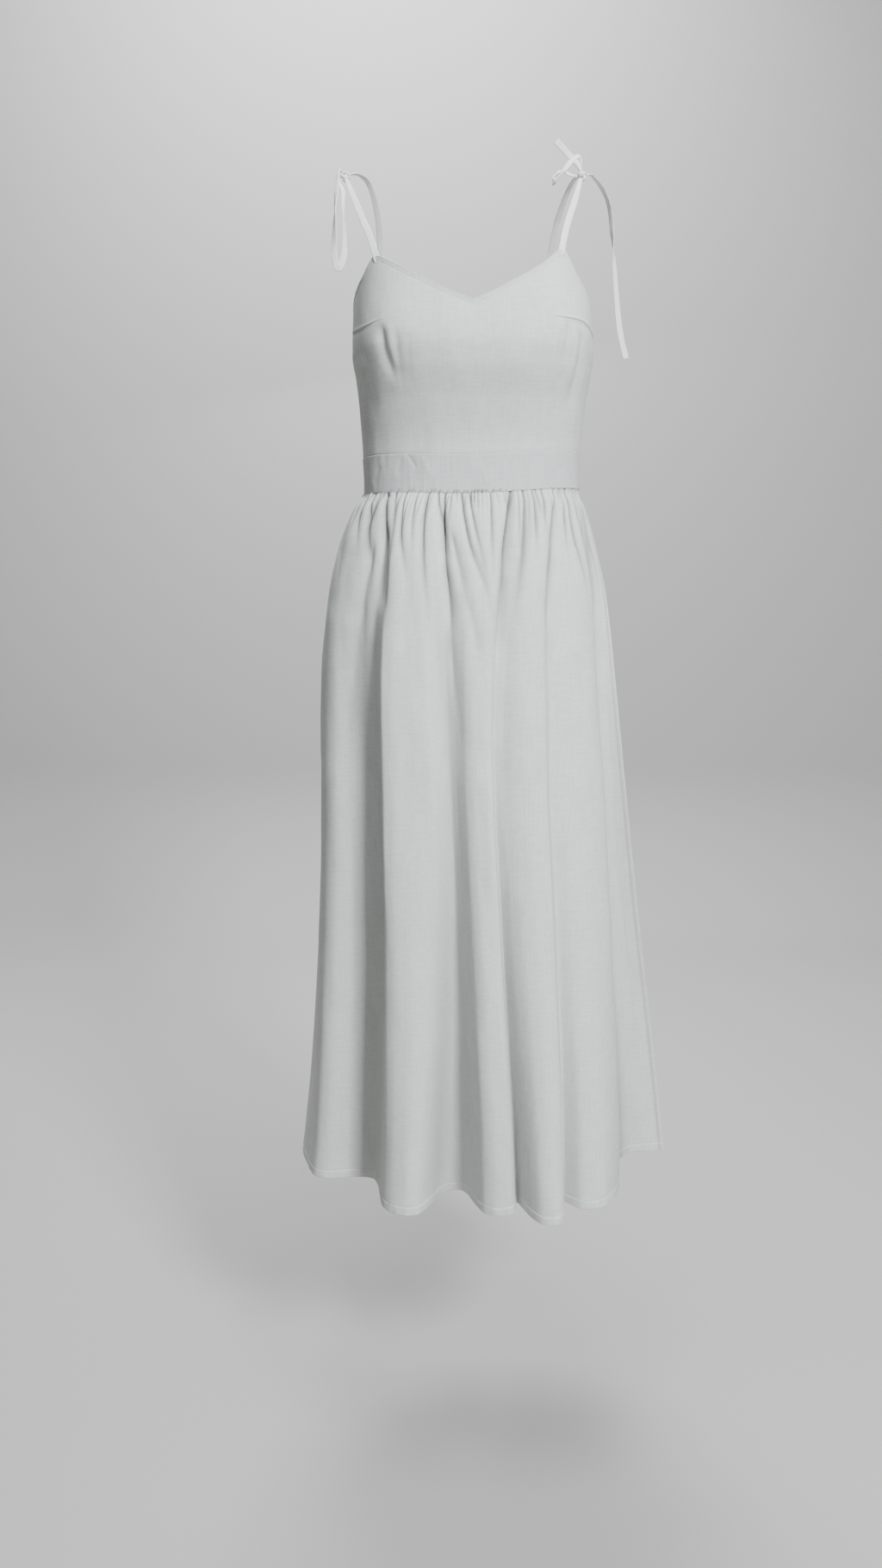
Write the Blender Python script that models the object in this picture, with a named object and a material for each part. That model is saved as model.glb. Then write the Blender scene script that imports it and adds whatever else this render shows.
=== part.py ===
"""Midi dress with tie straps: bodice with a V neck, plain waistband, gathered skirt.

Metres, +Z up, -Y is the front and -X is the viewer's left. The origin is midway between the
tops of the two shoulder ties, where a wearer's shoulders hold the dress. Each cut and sewn
piece is its own closed wall, 0.3 mm apart from its neighbour at the seam.
"""
import math
from collections import namedtuple

import bmesh
import bpy
import numpy as np
from mathutils import Vector

# Cloth and seams
WALL = 0.0015
SEAM_GAP = 0.0003

# Heights of the seams, read at the side seams
BAND_TOP = -0.3024
WAIST_SEAM = -0.3433
HEM = -1.142
WAIST_RISE = 0.0245      # the waist rises to the viewer's right, metres for each metre
WAIST_DIP = 0.008        # and dips at the centre front

# Gathers under the waistband, on each of the two skirt panels
GATHERS = 38
COLUMNS_A_GATHER = 3
GATHER_SHALLOW = 0.0014
GATHER_DEEP = 0.0030
GATHER_SHORT = 0.028     # how far down the shortest and the longest gathers run
GATHER_LONG = 0.130
GATHER_PUFF = 0.012      # a gather is fullest this far below the seam
GATHER_AT_SEAM = 0.45    # what part of its depth it has at the seam itself
GATHER_SEEDS = {"front": 3, "back": 8}

# Rows and columns of the walls
SKIRT_ROWS = (0, 0.013, 0.036, 0.075, 0.14, 0.24, 0.38, 0.56, 0.77, 1.0)
BODICE_FRONT_ROWS = 11
BODICE_BACK_ROWS = 8
WAISTBAND_ROWS = 3
BACK_COLUMNS = 24
WAISTBAND_COLUMNS = 28
FRONT_COLUMN_TURN = math.radians(4.5)

# Tie straps: narrow flat tubes of the same cloth
TIE_WIDTH = 0.007
TIE_THICKNESS = 0.0013
TIE_PINCH = 0.0042       # width where a tie goes into a knot
KNOT_RADIUS = 0.0055
KNOT_GAP = 0.0005        # from a knot to the middle of a tie's end, which clears its corners

CLOTH_COLOUR = (0.80, 0.81, 0.80, 1.0)
TIE_COLOUR = (0.83, 0.84, 0.82, 1.0)

# One row for each horizontal section of the worn body of the dress. left and right are X,
# front and back are how far the cloth reaches that way, and power squares the oval off.
Section = namedtuple("Section", "height left right front back power")
TORSO_SECTIONS = [
    Section(-0.3600, -0.1225, 0.1225, 0.0900, 0.0880, 2.3),
    Section(-0.3433, -0.1225, 0.1225, 0.0900, 0.0880, 2.3),
    Section(-0.3024, -0.1238, 0.1230, 0.0905, 0.0890, 2.3),
    Section(-0.2540, -0.1270, 0.1275, 0.1030, 0.0950, 2.4),
    Section(-0.2175, -0.1310, 0.1330, 0.1190, 0.1010, 2.5),
    Section(-0.1960, -0.1345, 0.1355, 0.1225, 0.1040, 2.6),
    Section(-0.1565, -0.1330, 0.1325, 0.1190, 0.1070, 2.8),
    Section(-0.1000, -0.1290, 0.1240, 0.1120, 0.1080, 3.0),
]
SKIRT_SECTIONS = [
    Section(-0.3300, -0.1225, 0.1225, 0.0900, 0.0880, 2.3),
    Section(-0.3433, -0.1225, 0.1225, 0.0900, 0.0880, 2.3),
    Section(-0.3600, -0.1330, 0.1310, 0.0985, 0.0985, 2.3),
    Section(-0.3770, -0.1420, 0.1370, 0.1070, 0.1080, 2.2),
    Section(-0.4080, -0.1530, 0.1450, 0.1170, 0.1200, 2.2),
    Section(-0.4580, -0.1650, 0.1560, 0.1280, 0.1320, 2.2),
    Section(-0.5520, -0.1750, 0.1680, 0.1400, 0.1430, 2.2),
    Section(-0.6710, -0.1775, 0.1815, 0.1510, 0.1520, 2.2),
    Section(-0.7760, -0.1800, 0.1940, 0.1600, 0.1600, 2.2),
    Section(-0.8760, -0.1860, 0.2070, 0.1680, 0.1680, 2.2),
    Section(-1.0330, -0.1990, 0.2290, 0.1810, 0.1800, 2.2),
    Section(-1.1420, -0.2120, 0.2430, 0.1900, 0.1880, 2.2),
]

# One row for each crest, valley and slope of the skirt's folds. share is the place across the cut
# panel. waist, middle and hem are turns in degrees about the skirt's axis, from the left side
# seam round the front, and the two reaches are distances out as parts of the section's. EASE
# says how soon a fold deepens on its way down.
Fold = namedtuple("Fold", "share waist middle hem middle_reach hem_reach")
MIDDLE_HEIGHT = -0.700
EASE = 0.70
FRONT_FOLDS = [
    Fold(0.000, 0, 0, 0, 0.995, 0.978),             # left side seam
    Fold(0.055, 8.44, 9, 10.6, 0.995, 0.950),
    Fold(0.088, 13.5, 16.5, 19, 0.985, 0.938),      # corner of the left edge
    Fold(0.108, 17.89, 22, 22.5, 0.955, 0.895),
    Fold(0.145, 26, 27, 25.4, 0.870, 0.759),
    Fold(0.185, 35, 34, 31, 0.800, 0.685),          # first valley
    Fold(0.208, 40.5, 39.5, 36.5, 0.800, 0.710),
    Fold(0.238, 47, 46.8, 45.5, 0.880, 0.805),
    Fold(0.262, 51, 51.5, 52.3, 0.962, 0.900),
    Fold(0.280, 54, 55, 56.5, 0.965, 0.928),        # broad crest
    Fold(0.305, 58, 60.5, 61, 0.945, 0.936),
    Fold(0.335, 62, 66, 64.8, 0.920, 0.900),
    Fold(0.362, 65.38, 70.5, 65.8, 0.890, 0.790),   # its overhanging edge
    Fold(0.385, 68.78, 73, 65.8, 0.840, 0.665),
    Fold(0.407, 72.69, 75, 68.5, 0.800, 0.585),
    Fold(0.430, 76.67, 77.5, 75, 0.790, 0.565),     # second valley, wide
    Fold(0.455, 81, 80.5, 81.5, 0.820, 0.640),
    Fold(0.487, 87.2, 84, 86.5, 0.885, 0.765),
    Fold(0.507, 90.63, 86.5, 89.7, 0.930, 0.845),
    Fold(0.530, 94.67, 90, 94.5, 0.955, 0.878),
    Fold(0.555, 99.11, 94.5, 99.3, 0.962, 0.868),   # crest left of the centre
    Fold(0.575, 103.37, 97, 102.2, 0.945, 0.812),
    Fold(0.592, 107.2, 98, 104, 0.895, 0.730),
    Fold(0.607, 110.4, 99, 105, 0.840, 0.728),      # narrow valley
    Fold(0.638, 116.6, 103, 106.3, 0.890, 0.896),
    Fold(0.660, 121, 107.5, 108.3, 0.940, 0.995),
    Fold(0.682, 125.4, 113, 112, 0.965, 1.020),     # fullest crest
    Fold(0.703, 129.84, 119, 115.3, 0.965, 0.985),
    Fold(0.728, 135.29, 122, 119.5, 0.920, 0.850),
    Fold(0.748, 139.5, 124.5, 123.8, 0.890, 0.770), # fourth valley
    Fold(0.768, 142.76, 130, 125.5, 0.920, 0.895),
    Fold(0.795, 147.18, 138, 131.5, 0.945, 0.932),  # last front crest
    Fold(0.825, 151.12, 146.5, 141, 0.950, 0.884),
    Fold(0.850, 155, 152, 148.8, 0.935, 0.834),
    Fold(0.880, 161, 157, 158, 0.850, 0.770),
    Fold(0.910, 166.43, 166, 168, 0.785, 0.740),    # valley behind it
    Fold(0.945, 171.86, 174.8, 177.2, 0.830, 0.808),
    Fold(0.970, 175.4, 176.2, 178.7, 0.905, 0.890), # foot of the pressed ridge
    Fold(0.988, 178, 175.4, 179.4, 0.965, 0.955),
    Fold(1.000, 180, 175, 180, 1.000, 1.000),       # right side seam, pressed to a ridge
]
BACK_FOLDS = [
    Fold(0.000, 180, 175, 180, 1.000, 1.000),
    Fold(0.015, 182.5, 178.8, 182.3, 0.955, 0.900),
    Fold(0.050, 187, 185, 187, 0.897, 0.770),
    Fold(0.110, 197, 198, 198, 0.866, 0.700),       # valley beside the ridge
    Fold(0.180, 210, 211, 209, 0.964, 0.920),
    Fold(0.215, 217, 217, 217, 0.969, 0.930),
    Fold(0.280, 228, 229, 228, 0.885, 0.720),
    Fold(0.340, 239, 238, 236, 0.982, 0.960),
    Fold(0.385, 246, 246, 245, 0.991, 0.980),
    Fold(0.450, 258, 256, 257, 0.867, 0.650),       # deepest valley of the back
    Fold(0.500, 267, 267, 267, 0.978, 0.950),
    Fold(0.555, 276, 278, 279, 0.996, 0.990),
    Fold(0.620, 288, 290, 290, 0.879, 0.730),
    Fold(0.680, 299, 299, 298, 0.975, 0.940),
    Fold(0.715, 306, 306, 306, 0.979, 0.950),
    Fold(0.780, 318, 318, 317, 0.870, 0.710),
    Fold(0.840, 329, 328, 327, 0.964, 0.920),
    Fold(0.885, 337, 336, 335, 0.973, 0.940),
    Fold(0.930, 346, 345, 344, 0.930, 0.830),
    Fold(0.970, 354, 354, 353, 0.996, 0.990),
    Fold(1.000, 360, 360, 360, 0.989, 0.975),
]

# Cups and creases. A row is a line on the body from one turn and height to another, with how
# wide it spreads and how far it stands out, or in where that is negative.
Form = namedtuple("Form", "turn height end_turn end_height spread out")
BODICE_FORMS = [
    Form(47, -0.188, 47, -0.194, 0.040, 0.0045),         # left cup, made by the bust dart
    Form(133, -0.188, 133, -0.194, 0.040, 0.0045),       # right cup
    Form(46.5, -0.180, 48, -0.235, 0.007, -0.0030),      # soft creases below the dart's point
    Form(54, -0.190, 52, -0.238, 0.008, -0.0014),
    Form(133.5, -0.182, 137, -0.248, 0.007, -0.0028),
    Form(139, -0.184, 146, -0.242, 0.007, -0.0022),
]
SKIRT_FORMS = [
    Form(36, -0.400, 31, -0.503, 0.008, -0.0040),
    Form(31, -0.503, 23, -0.625, 0.009, -0.0030),
    Form(41, -0.385, 46, -0.470, 0.009, -0.0045),
    Form(72, -0.362, 77, -0.430, 0.006, -0.0045),
    Form(77, -0.430, 80.5, -0.500, 0.007, -0.0045),
    Form(80.5, -0.500, 85, -0.620, 0.009, -0.0030),
    Form(79, -0.392, 88, -0.460, 0.006, -0.0030),
    Form(88, -0.460, 93, -0.510, 0.007, -0.0025),
    Form(113.5, -0.358, 108, -0.440, 0.006, -0.0050),
    Form(108, -0.440, 104, -0.530, 0.007, -0.0045),
    Form(141, -0.355, 133, -0.413, 0.006, -0.0040),
    Form(133, -0.413, 127, -0.500, 0.007, -0.0035),
    Form(158, -0.380, 166, -0.500, 0.008, -0.0045),
    Form(166, -0.500, 167, -0.600, 0.009, -0.0035),
    Form(215, -0.370, 221, -0.520, 0.008, -0.0040),
    Form(242, -0.365, 252, -0.560, 0.007, -0.0050),
    Form(268, -0.370, 262, -0.470, 0.007, -0.0035),
    Form(289, -0.365, 290, -0.600, 0.008, -0.0050),
    Form(311, -0.370, 317, -0.540, 0.008, -0.0040),
    Form(338, -0.375, 345, -0.580, 0.009, -0.0040),
]
FORM_RADIUS = 0.130      # turns are counted across the cloth at this distance from the axis

# The bodice's top edge, a row for each place where it turns
Edge = namedtuple("Edge", "x height")
FRONT_TOP_EDGE = [
    Edge(-0.1330, -0.1520),     # left underarm, at the side seam
    Edge(-0.1285, -0.1375),
    Edge(-0.1180, -0.1235),
    Edge(-0.1068, -0.1085),     # left strap, outer corner
    Edge(-0.0996, -0.1085),     # left strap, inner corner
    Edge(-0.0670, -0.1285),
    Edge(-0.0320, -0.1470),
    Edge(-0.0020, -0.1585),     # point of the V
    Edge(0.0190, -0.1500),
    Edge(0.0440, -0.1364),
    Edge(0.0700, -0.1205),
    Edge(0.0880, -0.1035),      # right strap, inner corner
    Edge(0.0952, -0.1035),      # right strap, outer corner
    Edge(0.1080, -0.1250),
    Edge(0.1235, -0.1450),
    Edge(0.1325, -0.1570),      # right underarm
]
BACK_TOP_LEFT = -0.1520
BACK_TOP_RIGHT = -0.1570
BACK_TOP_DIP = 0.008
BACK_STRAP_X = {"left": -0.0860, "right": 0.0800}

KNOTS = {"left": Vector((-0.1405, -0.0130, -0.0035)), "right": Vector((0.1205, -0.0130, -0.0030))}


def smooth(knots, values, places):
    """Monotone cubic curve through a table's rows, read at one place or at many."""
    knots = np.asarray(knots, float)
    values = np.asarray(values, float)
    step = np.diff(knots)
    slope = np.diff(values) / step
    tangent = np.zeros(len(knots))
    tangent[0] = slope[0]
    tangent[-1] = slope[-1]
    for i in range(1, len(knots) - 1):
        if slope[i - 1] * slope[i] > 0:
            before = 2 * step[i] + step[i - 1]
            after = step[i] + 2 * step[i - 1]
            tangent[i] = (before + after) / (before / slope[i - 1] + after / slope[i])
    places = np.clip(places, knots[0], knots[-1])
    i = np.clip(np.searchsorted(knots, places, side="right") - 1, 0, len(step) - 1)
    t = (places - knots[i]) / step[i]
    return (values[i] * (1 + 2 * t) * (1 - t) ** 2 + tangent[i] * step[i] * t * (1 - t) ** 2
            + values[i + 1] * t * t * (3 - 2 * t) + tangent[i + 1] * step[i] * t * t * (t - 1))


def body_point(sections, turn, height, share_out=1.0, proud=0.0):
    """A point of the worn outline at a turn in radians, scaled by a share and moved out."""
    rows = sorted(sections, key=lambda row: row.height)
    heights = [row.height for row in rows]
    left = smooth(heights, [row.left for row in rows], height)
    right = smooth(heights, [row.right for row in rows], height)
    front = smooth(heights, [row.front for row in rows], height)
    back = smooth(heights, [row.back for row in rows], height)
    power = smooth(heights, [row.power for row in rows], height)
    depth = np.where(np.sin(turn) >= 0, front, back)
    half_width = (right - left) / 2
    oval = (np.abs(np.cos(turn)) / half_width) ** power + (np.abs(np.sin(turn)) / depth) ** power
    radius = share_out * oval ** (-1 / power) + proud
    x = (left + right) / 2 - radius * np.cos(turn)
    y = -radius * np.sin(turn)
    return np.stack([x, y, np.broadcast_to(height, x.shape)], axis=-1)


def relief(forms, turn, height):
    """How far cups and creases move the cloth out at turns in radians and heights."""
    total = np.zeros(np.shape(turn))
    for form in forms:
        start = np.array([math.radians(form.turn) * FORM_RADIUS, form.height])
        line = np.array([math.radians(form.end_turn) * FORM_RADIUS, form.end_height]) - start
        across = turn * FORM_RADIUS - start[0]
        down = height - start[1]
        along = np.clip((across * line[0] + down * line[1]) / (line @ line), 0, 1)
        away = np.hypot(across - along * line[0], down - along * line[1])
        total = total + form.out * np.exp(-(away / form.spread) ** 2)
    return total


def waist_line(side_height, turn, x):
    """Height of a waist seam: it rises to one side and dips at the centre front."""
    return side_height + WAIST_RISE * x - WAIST_DIP * np.clip(np.sin(turn), 0, 1) ** 2


def surface_normals(grid, closed):
    """Outward unit normals of a grid of points, rows from top to bottom, columns round the body."""
    if closed:
        step = np.roll(grid, -1, axis=1) - grid
        step /= np.linalg.norm(step, axis=-1, keepdims=True)
        along = step + np.roll(step, 1, axis=1)
    else:
        along = np.gradient(grid, axis=1)
    down = np.gradient(grid, axis=0)
    normal = np.cross(down, along)
    return normal / np.linalg.norm(normal, axis=-1, keepdims=True)


def level(normals):
    """The same directions with no rise, for a rim that faces another piece across a level seam."""
    flat = normals.copy()
    flat[..., 2] = 0
    return flat / np.linalg.norm(flat, axis=-1, keepdims=True)


def make_material(name, colour):
    material = bpy.data.materials.new(name)
    material.use_nodes = True
    shader = material.node_tree.nodes["Principled BSDF"]
    shader.inputs["Base Color"].default_value = colour
    shader.inputs["Roughness"].default_value = 0.85
    shader.inputs["Metallic"].default_value = 0.0
    return material


def add_object(name, mesh, colour):
    mesh.shade_smooth()
    mesh.set_sharp_from_angle(angle=math.radians(50))
    mesh.materials.append(make_material(name + "_cloth", colour))
    item = bpy.data.objects.new(name, mesh)
    dress.objects.link(item)
    return item


def cloth_wall(name, outer, inner):
    """A closed wall of cloth between an outer and an inner grid of the same rows and columns."""
    rows, columns = outer.shape[:2]
    bm = bmesh.new()
    skins = [[[bm.verts.new(skin[r, c]) for c in range(columns)] for r in range(rows)]
             for skin in (outer, inner)]
    out, inn = skins
    for r in range(rows - 1):
        for c in range(columns - 1):
            bm.faces.new((out[r][c], out[r + 1][c], out[r + 1][c + 1], out[r][c + 1]))
            bm.faces.new((inn[r][c], inn[r][c + 1], inn[r + 1][c + 1], inn[r + 1][c]))
    for c in range(columns - 1):
        bm.faces.new((out[0][c], out[0][c + 1], inn[0][c + 1], inn[0][c]))
        bm.faces.new((out[-1][c], inn[-1][c], inn[-1][c + 1], out[-1][c + 1]))
    for r in range(rows - 1):
        bm.faces.new((out[r][0], inn[r][0], inn[r + 1][0], out[r + 1][0]))
        bm.faces.new((out[r][-1], out[r + 1][-1], inn[r + 1][-1], inn[r][-1]))
    bmesh.ops.triangulate(bm, faces=bm.faces)
    mesh = bpy.data.meshes.new(name)
    bm.to_mesh(mesh)
    bm.free()
    add_object(name, mesh, CLOTH_COLOUR)


def panel(name, middle, normals):
    """A panel's wall on both sides of its middle surface, pulled back from its side seams."""
    middle = middle.copy()
    for column, inward in ((0, 1), (-1, -1)):
        along = np.cross([0, 0, 1], normals[:, column]) * inward
        along /= np.linalg.norm(along, axis=-1, keepdims=True)
        middle[:, column] += along * SEAM_GAP / 2
    outer = middle + normals * WALL / 2
    inner = middle - normals * WALL / 2
    cloth_wall(name, outer, inner)


def gather_relief(column, drop, side):
    """How far a gather stands out of the skirt, at a column of the panel and a drop below the seam."""
    dice = np.random.default_rng(GATHER_SEEDS[side])
    depths = dice.uniform(GATHER_SHALLOW, GATHER_DEEP, GATHERS + 1)
    runs = GATHER_SHORT + (GATHER_LONG - GATHER_SHORT) * dice.uniform(0, 1, GATHERS + 1) ** 3
    which = column // COLUMNS_A_GATHER
    phase = column % COLUMNS_A_GATHER / COLUMNS_A_GATHER
    puff = GATHER_AT_SEAM + (1 - GATHER_AT_SEAM) * np.clip(drop / GATHER_PUFF, 0, 1)
    return depths[which] * puff * np.exp(-(drop / runs[which]) ** 1.5) * np.cos(2 * np.pi * phase)


def skirt_middle(folds, side):
    """The middle surface of one skirt panel: the section's outline, its folds and its gathers."""
    column = np.arange(GATHERS * COLUMNS_A_GATHER + 1)
    share = column / column[-1]
    shares = [fold.share for fold in folds]
    turns = [smooth(shares, [getattr(fold, at) for fold in folds], share)
             for at in ("waist", "middle", "hem")]
    middle_reach = smooth(shares, [fold.middle_reach for fold in folds], share)
    hem_reach = smooth(shares, [fold.hem_reach for fold in folds], share)
    waist_points = body_point(TORSO_SECTIONS, np.radians(turns[0]), WAIST_SEAM)
    top = waist_line(WAIST_SEAM, np.radians(turns[0]), waist_points[:, 0]) - SEAM_GAP / 2
    middle_share = (WAIST_SEAM - MIDDLE_HEIGHT) / (WAIST_SEAM - HEM)
    rows = []
    for down in SKIRT_ROWS:
        height = top + (HEM - top) * down
        turn = np.radians([smooth((0, middle_share, 1), stops, down) for stops in zip(*turns)])
        out = np.array([smooth((0, middle_share ** EASE, 1), stops, down ** EASE) for stops in
                        zip(np.ones(len(share)), middle_reach, hem_reach)])
        proud = gather_relief(column, down * (WAIST_SEAM - HEM), side) + relief(SKIRT_FORMS, turn, height)
        rows.append(body_point(SKIRT_SECTIONS, turn, height, out, proud))
    return np.array(rows)


def build_skirt():
    """Both panels, as one closed ring for the normals, then cut at the two side seams."""
    front = skirt_middle(FRONT_FOLDS, "front")
    back = skirt_middle(BACK_FOLDS, "back")
    ring = np.concatenate([front[:, :-1], back[:, :-1]], axis=1)
    normals = surface_normals(ring, closed=True)
    normals[0] = level(normals[0])
    normals[-1] = level(normals[-1])
    cut = front.shape[1] - 1
    back_columns = np.r_[cut:ring.shape[1], 0]
    panel("skirt_front", ring[:, :cut + 1], normals[:, :cut + 1])
    panel("skirt_back", ring[:, back_columns], normals[:, back_columns])


def turn_at(x, height):
    """The turn, in radians, at which the torso's front outline has this X."""
    low, high = 0.0, math.pi
    for _ in range(40):
        half = (low + high) / 2
        if body_point(TORSO_SECTIONS, np.array(half), height)[0] < x:
            low = half
        else:
            high = half
    return (low + high) / 2


def torso_piece(name, turns, top, bottom, row_count, forms=()):
    """A bodice or waistband piece between two edge lines, with level rims along both."""
    rows = []
    for down in np.linspace(0, 1, row_count):
        height = top + (bottom - top) * down
        rows.append(body_point(TORSO_SECTIONS, turns, height, proud=relief(forms, turns, height)))
    middle = np.array(rows)
    normals = surface_normals(middle, closed=False)
    normals[0] = level(normals[0])
    normals[-1] = level(normals[-1])
    panel(name, middle, normals)


def seam_heights(turns, side_height):
    """Heights of a waist seam at each turn round the body."""
    points = body_point(TORSO_SECTIONS, turns, side_height)
    return waist_line(side_height, turns, points[:, 0])


def build_bodice():
    """Front with its V neck and strap corners, and a straight low back."""
    stations = [turn_at(edge.x, edge.height) for edge in FRONT_TOP_EDGE]
    stations[0] = 0.0
    stations[-1] = math.pi
    turns, tops = [], []
    for i in range(len(stations) - 1):
        steps = max(1, round((stations[i + 1] - stations[i]) / FRONT_COLUMN_TURN))
        for step in range(steps):
            share = step / steps
            turns.append(stations[i] + (stations[i + 1] - stations[i]) * share)
            tops.append(FRONT_TOP_EDGE[i].height
                        + (FRONT_TOP_EDGE[i + 1].height - FRONT_TOP_EDGE[i].height) * share)
    turns = np.array(turns + [math.pi])
    tops = np.array(tops + [FRONT_TOP_EDGE[-1].height])
    bottoms = seam_heights(turns, BAND_TOP) + SEAM_GAP / 2
    torso_piece("bodice_front", turns, tops, bottoms, BODICE_FRONT_ROWS, BODICE_FORMS)
    turns = np.linspace(math.pi, 2 * math.pi, BACK_COLUMNS + 1)
    bottoms = seam_heights(turns, BAND_TOP) + SEAM_GAP / 2
    torso_piece("bodice_back", turns, back_top(turns), bottoms, BODICE_BACK_ROWS)


def back_top(turns):
    """The back's top edge: straight across, a little lower in the middle."""
    share = (turns - math.pi) / math.pi
    return (BACK_TOP_RIGHT + (BACK_TOP_LEFT - BACK_TOP_RIGHT) * share
            - BACK_TOP_DIP * np.sin(math.pi * share) ** 2)


def build_waistband():
    """Two plain bands, from the bodice's seam to the gathered one."""
    for name, first in (("waistband_front", 0.0), ("waistband_back", math.pi)):
        turns = np.linspace(first, first + math.pi, WAISTBAND_COLUMNS + 1)
        top = seam_heights(turns, BAND_TOP) - SEAM_GAP / 2
        bottom = seam_heights(turns, WAIST_SEAM) + SEAM_GAP / 2
        torso_piece(name, turns, top, bottom, WAISTBAND_ROWS)


def smooth_route(points, count):
    """Evenly spaced points on a smooth curve through a tie's route."""
    points = np.array([tuple(point) for point in points], float)
    run = np.r_[0, np.cumsum(np.linalg.norm(np.diff(points, axis=0), axis=1) ** 0.5)]
    ends = np.concatenate([[2 * points[0] - points[1]], points, [2 * points[-1] - points[-2]]])
    knots = np.r_[run[0] - (run[1] - run[0]), run, run[-1] + (run[-1] - run[-2])]
    dense = []
    for i in range(len(points) - 1):
        p0, p1, p2, p3 = ends[i:i + 4]
        t0, t1, t2, t3 = knots[i:i + 4]
        for t in np.linspace(t1, t2, 24, endpoint=i == len(points) - 2):
            a1 = (t1 - t) / (t1 - t0) * p0 + (t - t0) / (t1 - t0) * p1
            a2 = (t2 - t) / (t2 - t1) * p1 + (t - t1) / (t2 - t1) * p2
            a3 = (t3 - t) / (t3 - t2) * p2 + (t - t2) / (t3 - t2) * p3
            b1 = (t2 - t) / (t2 - t0) * a1 + (t - t0) / (t2 - t0) * a2
            b2 = (t3 - t) / (t3 - t1) * a2 + (t - t1) / (t3 - t1) * a3
            dense.append((t2 - t) / (t2 - t1) * b1 + (t - t1) / (t2 - t1) * b2)
    dense = np.array(dense)
    length = np.r_[0, np.cumsum(np.linalg.norm(np.diff(dense, axis=0), axis=1))]
    places = np.linspace(0, length[-1], count)
    return np.stack([np.interp(places, length, dense[:, axis]) for axis in range(3)], axis=1)


def tie(name, route, faces, widths, count, sewn=False):
    """A flat tie along a route. faces are the ways its flat side looks, from start to end.

    A sewn tie's first end is cut level, to stand on the bodice's top edge."""
    points = smooth_route(route, count)
    along = np.gradient(points, axis=0)
    along /= np.linalg.norm(along, axis=1, keepdims=True)
    places = np.linspace(0, 1, count)
    stops = np.linspace(0, 1, len(faces))
    face = np.stack([np.interp(places, stops, [f[axis] for f in faces]) for axis in range(3)], axis=1)
    face -= along * np.sum(face * along, axis=1, keepdims=True)
    face /= np.linalg.norm(face, axis=1, keepdims=True)
    side = np.cross(along, face)
    width = np.interp(places, np.linspace(0, 1, len(widths)), widths)[:, None]
    half = TIE_THICKNESS / 2
    edge = width / 2 - half
    corners = [side * width / 2, side * edge + face * half, -side * edge + face * half,
               -side * width / 2, -side * edge - face * half, side * edge - face * half]
    sides = len(corners)
    outline = np.array([points + corner for corner in corners])
    if sewn:
        rise = (points[0, 2] - outline[:, 0, 2]) / along[0, 2]
        outline[:, 0] += along[0] * rise[:, None]
    bm = bmesh.new()
    rings = [[bm.verts.new(outline[k, i]) for k in range(sides)] for i in range(count)]
    for i in range(count - 1):
        for k in range(sides):
            after = (k + 1) % sides
            bm.faces.new((rings[i][k], rings[i][after], rings[i + 1][after], rings[i + 1][k]))
    bm.faces.new(rings[0][::-1])
    bm.faces.new(rings[-1])
    bmesh.ops.recalc_face_normals(bm, faces=bm.faces)
    bmesh.ops.triangulate(bm, faces=bm.faces)
    mesh = bpy.data.meshes.new(name)
    bm.to_mesh(mesh)
    bm.free()
    add_object(name, mesh, TIE_COLOUR)


def knot_side(side, direction, further=0.0):
    """The point just off a knot's surface that a tie going this way starts from."""
    return KNOTS[side] + Vector(direction).normalized() * (KNOT_RADIUS + KNOT_GAP + further)


def build_knots():
    """A small round knot on top of each shoulder."""
    for side, centre in KNOTS.items():
        bm = bmesh.new()
        bmesh.ops.create_uvsphere(bm, u_segments=14, v_segments=9, radius=KNOT_RADIUS)
        mesh = bpy.data.meshes.new("knot_" + side)
        bm.to_mesh(mesh)
        bm.free()
        add_object("knot_" + side, mesh, TIE_COLOUR).location = centre


def strap_start(x, height, turn):
    """The middle of a strap's sewn end, just above the bodice's top edge."""
    point = body_point(TORSO_SECTIONS, np.array(turn), height)
    return Vector((x, point[1], height + SEAM_GAP))


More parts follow.
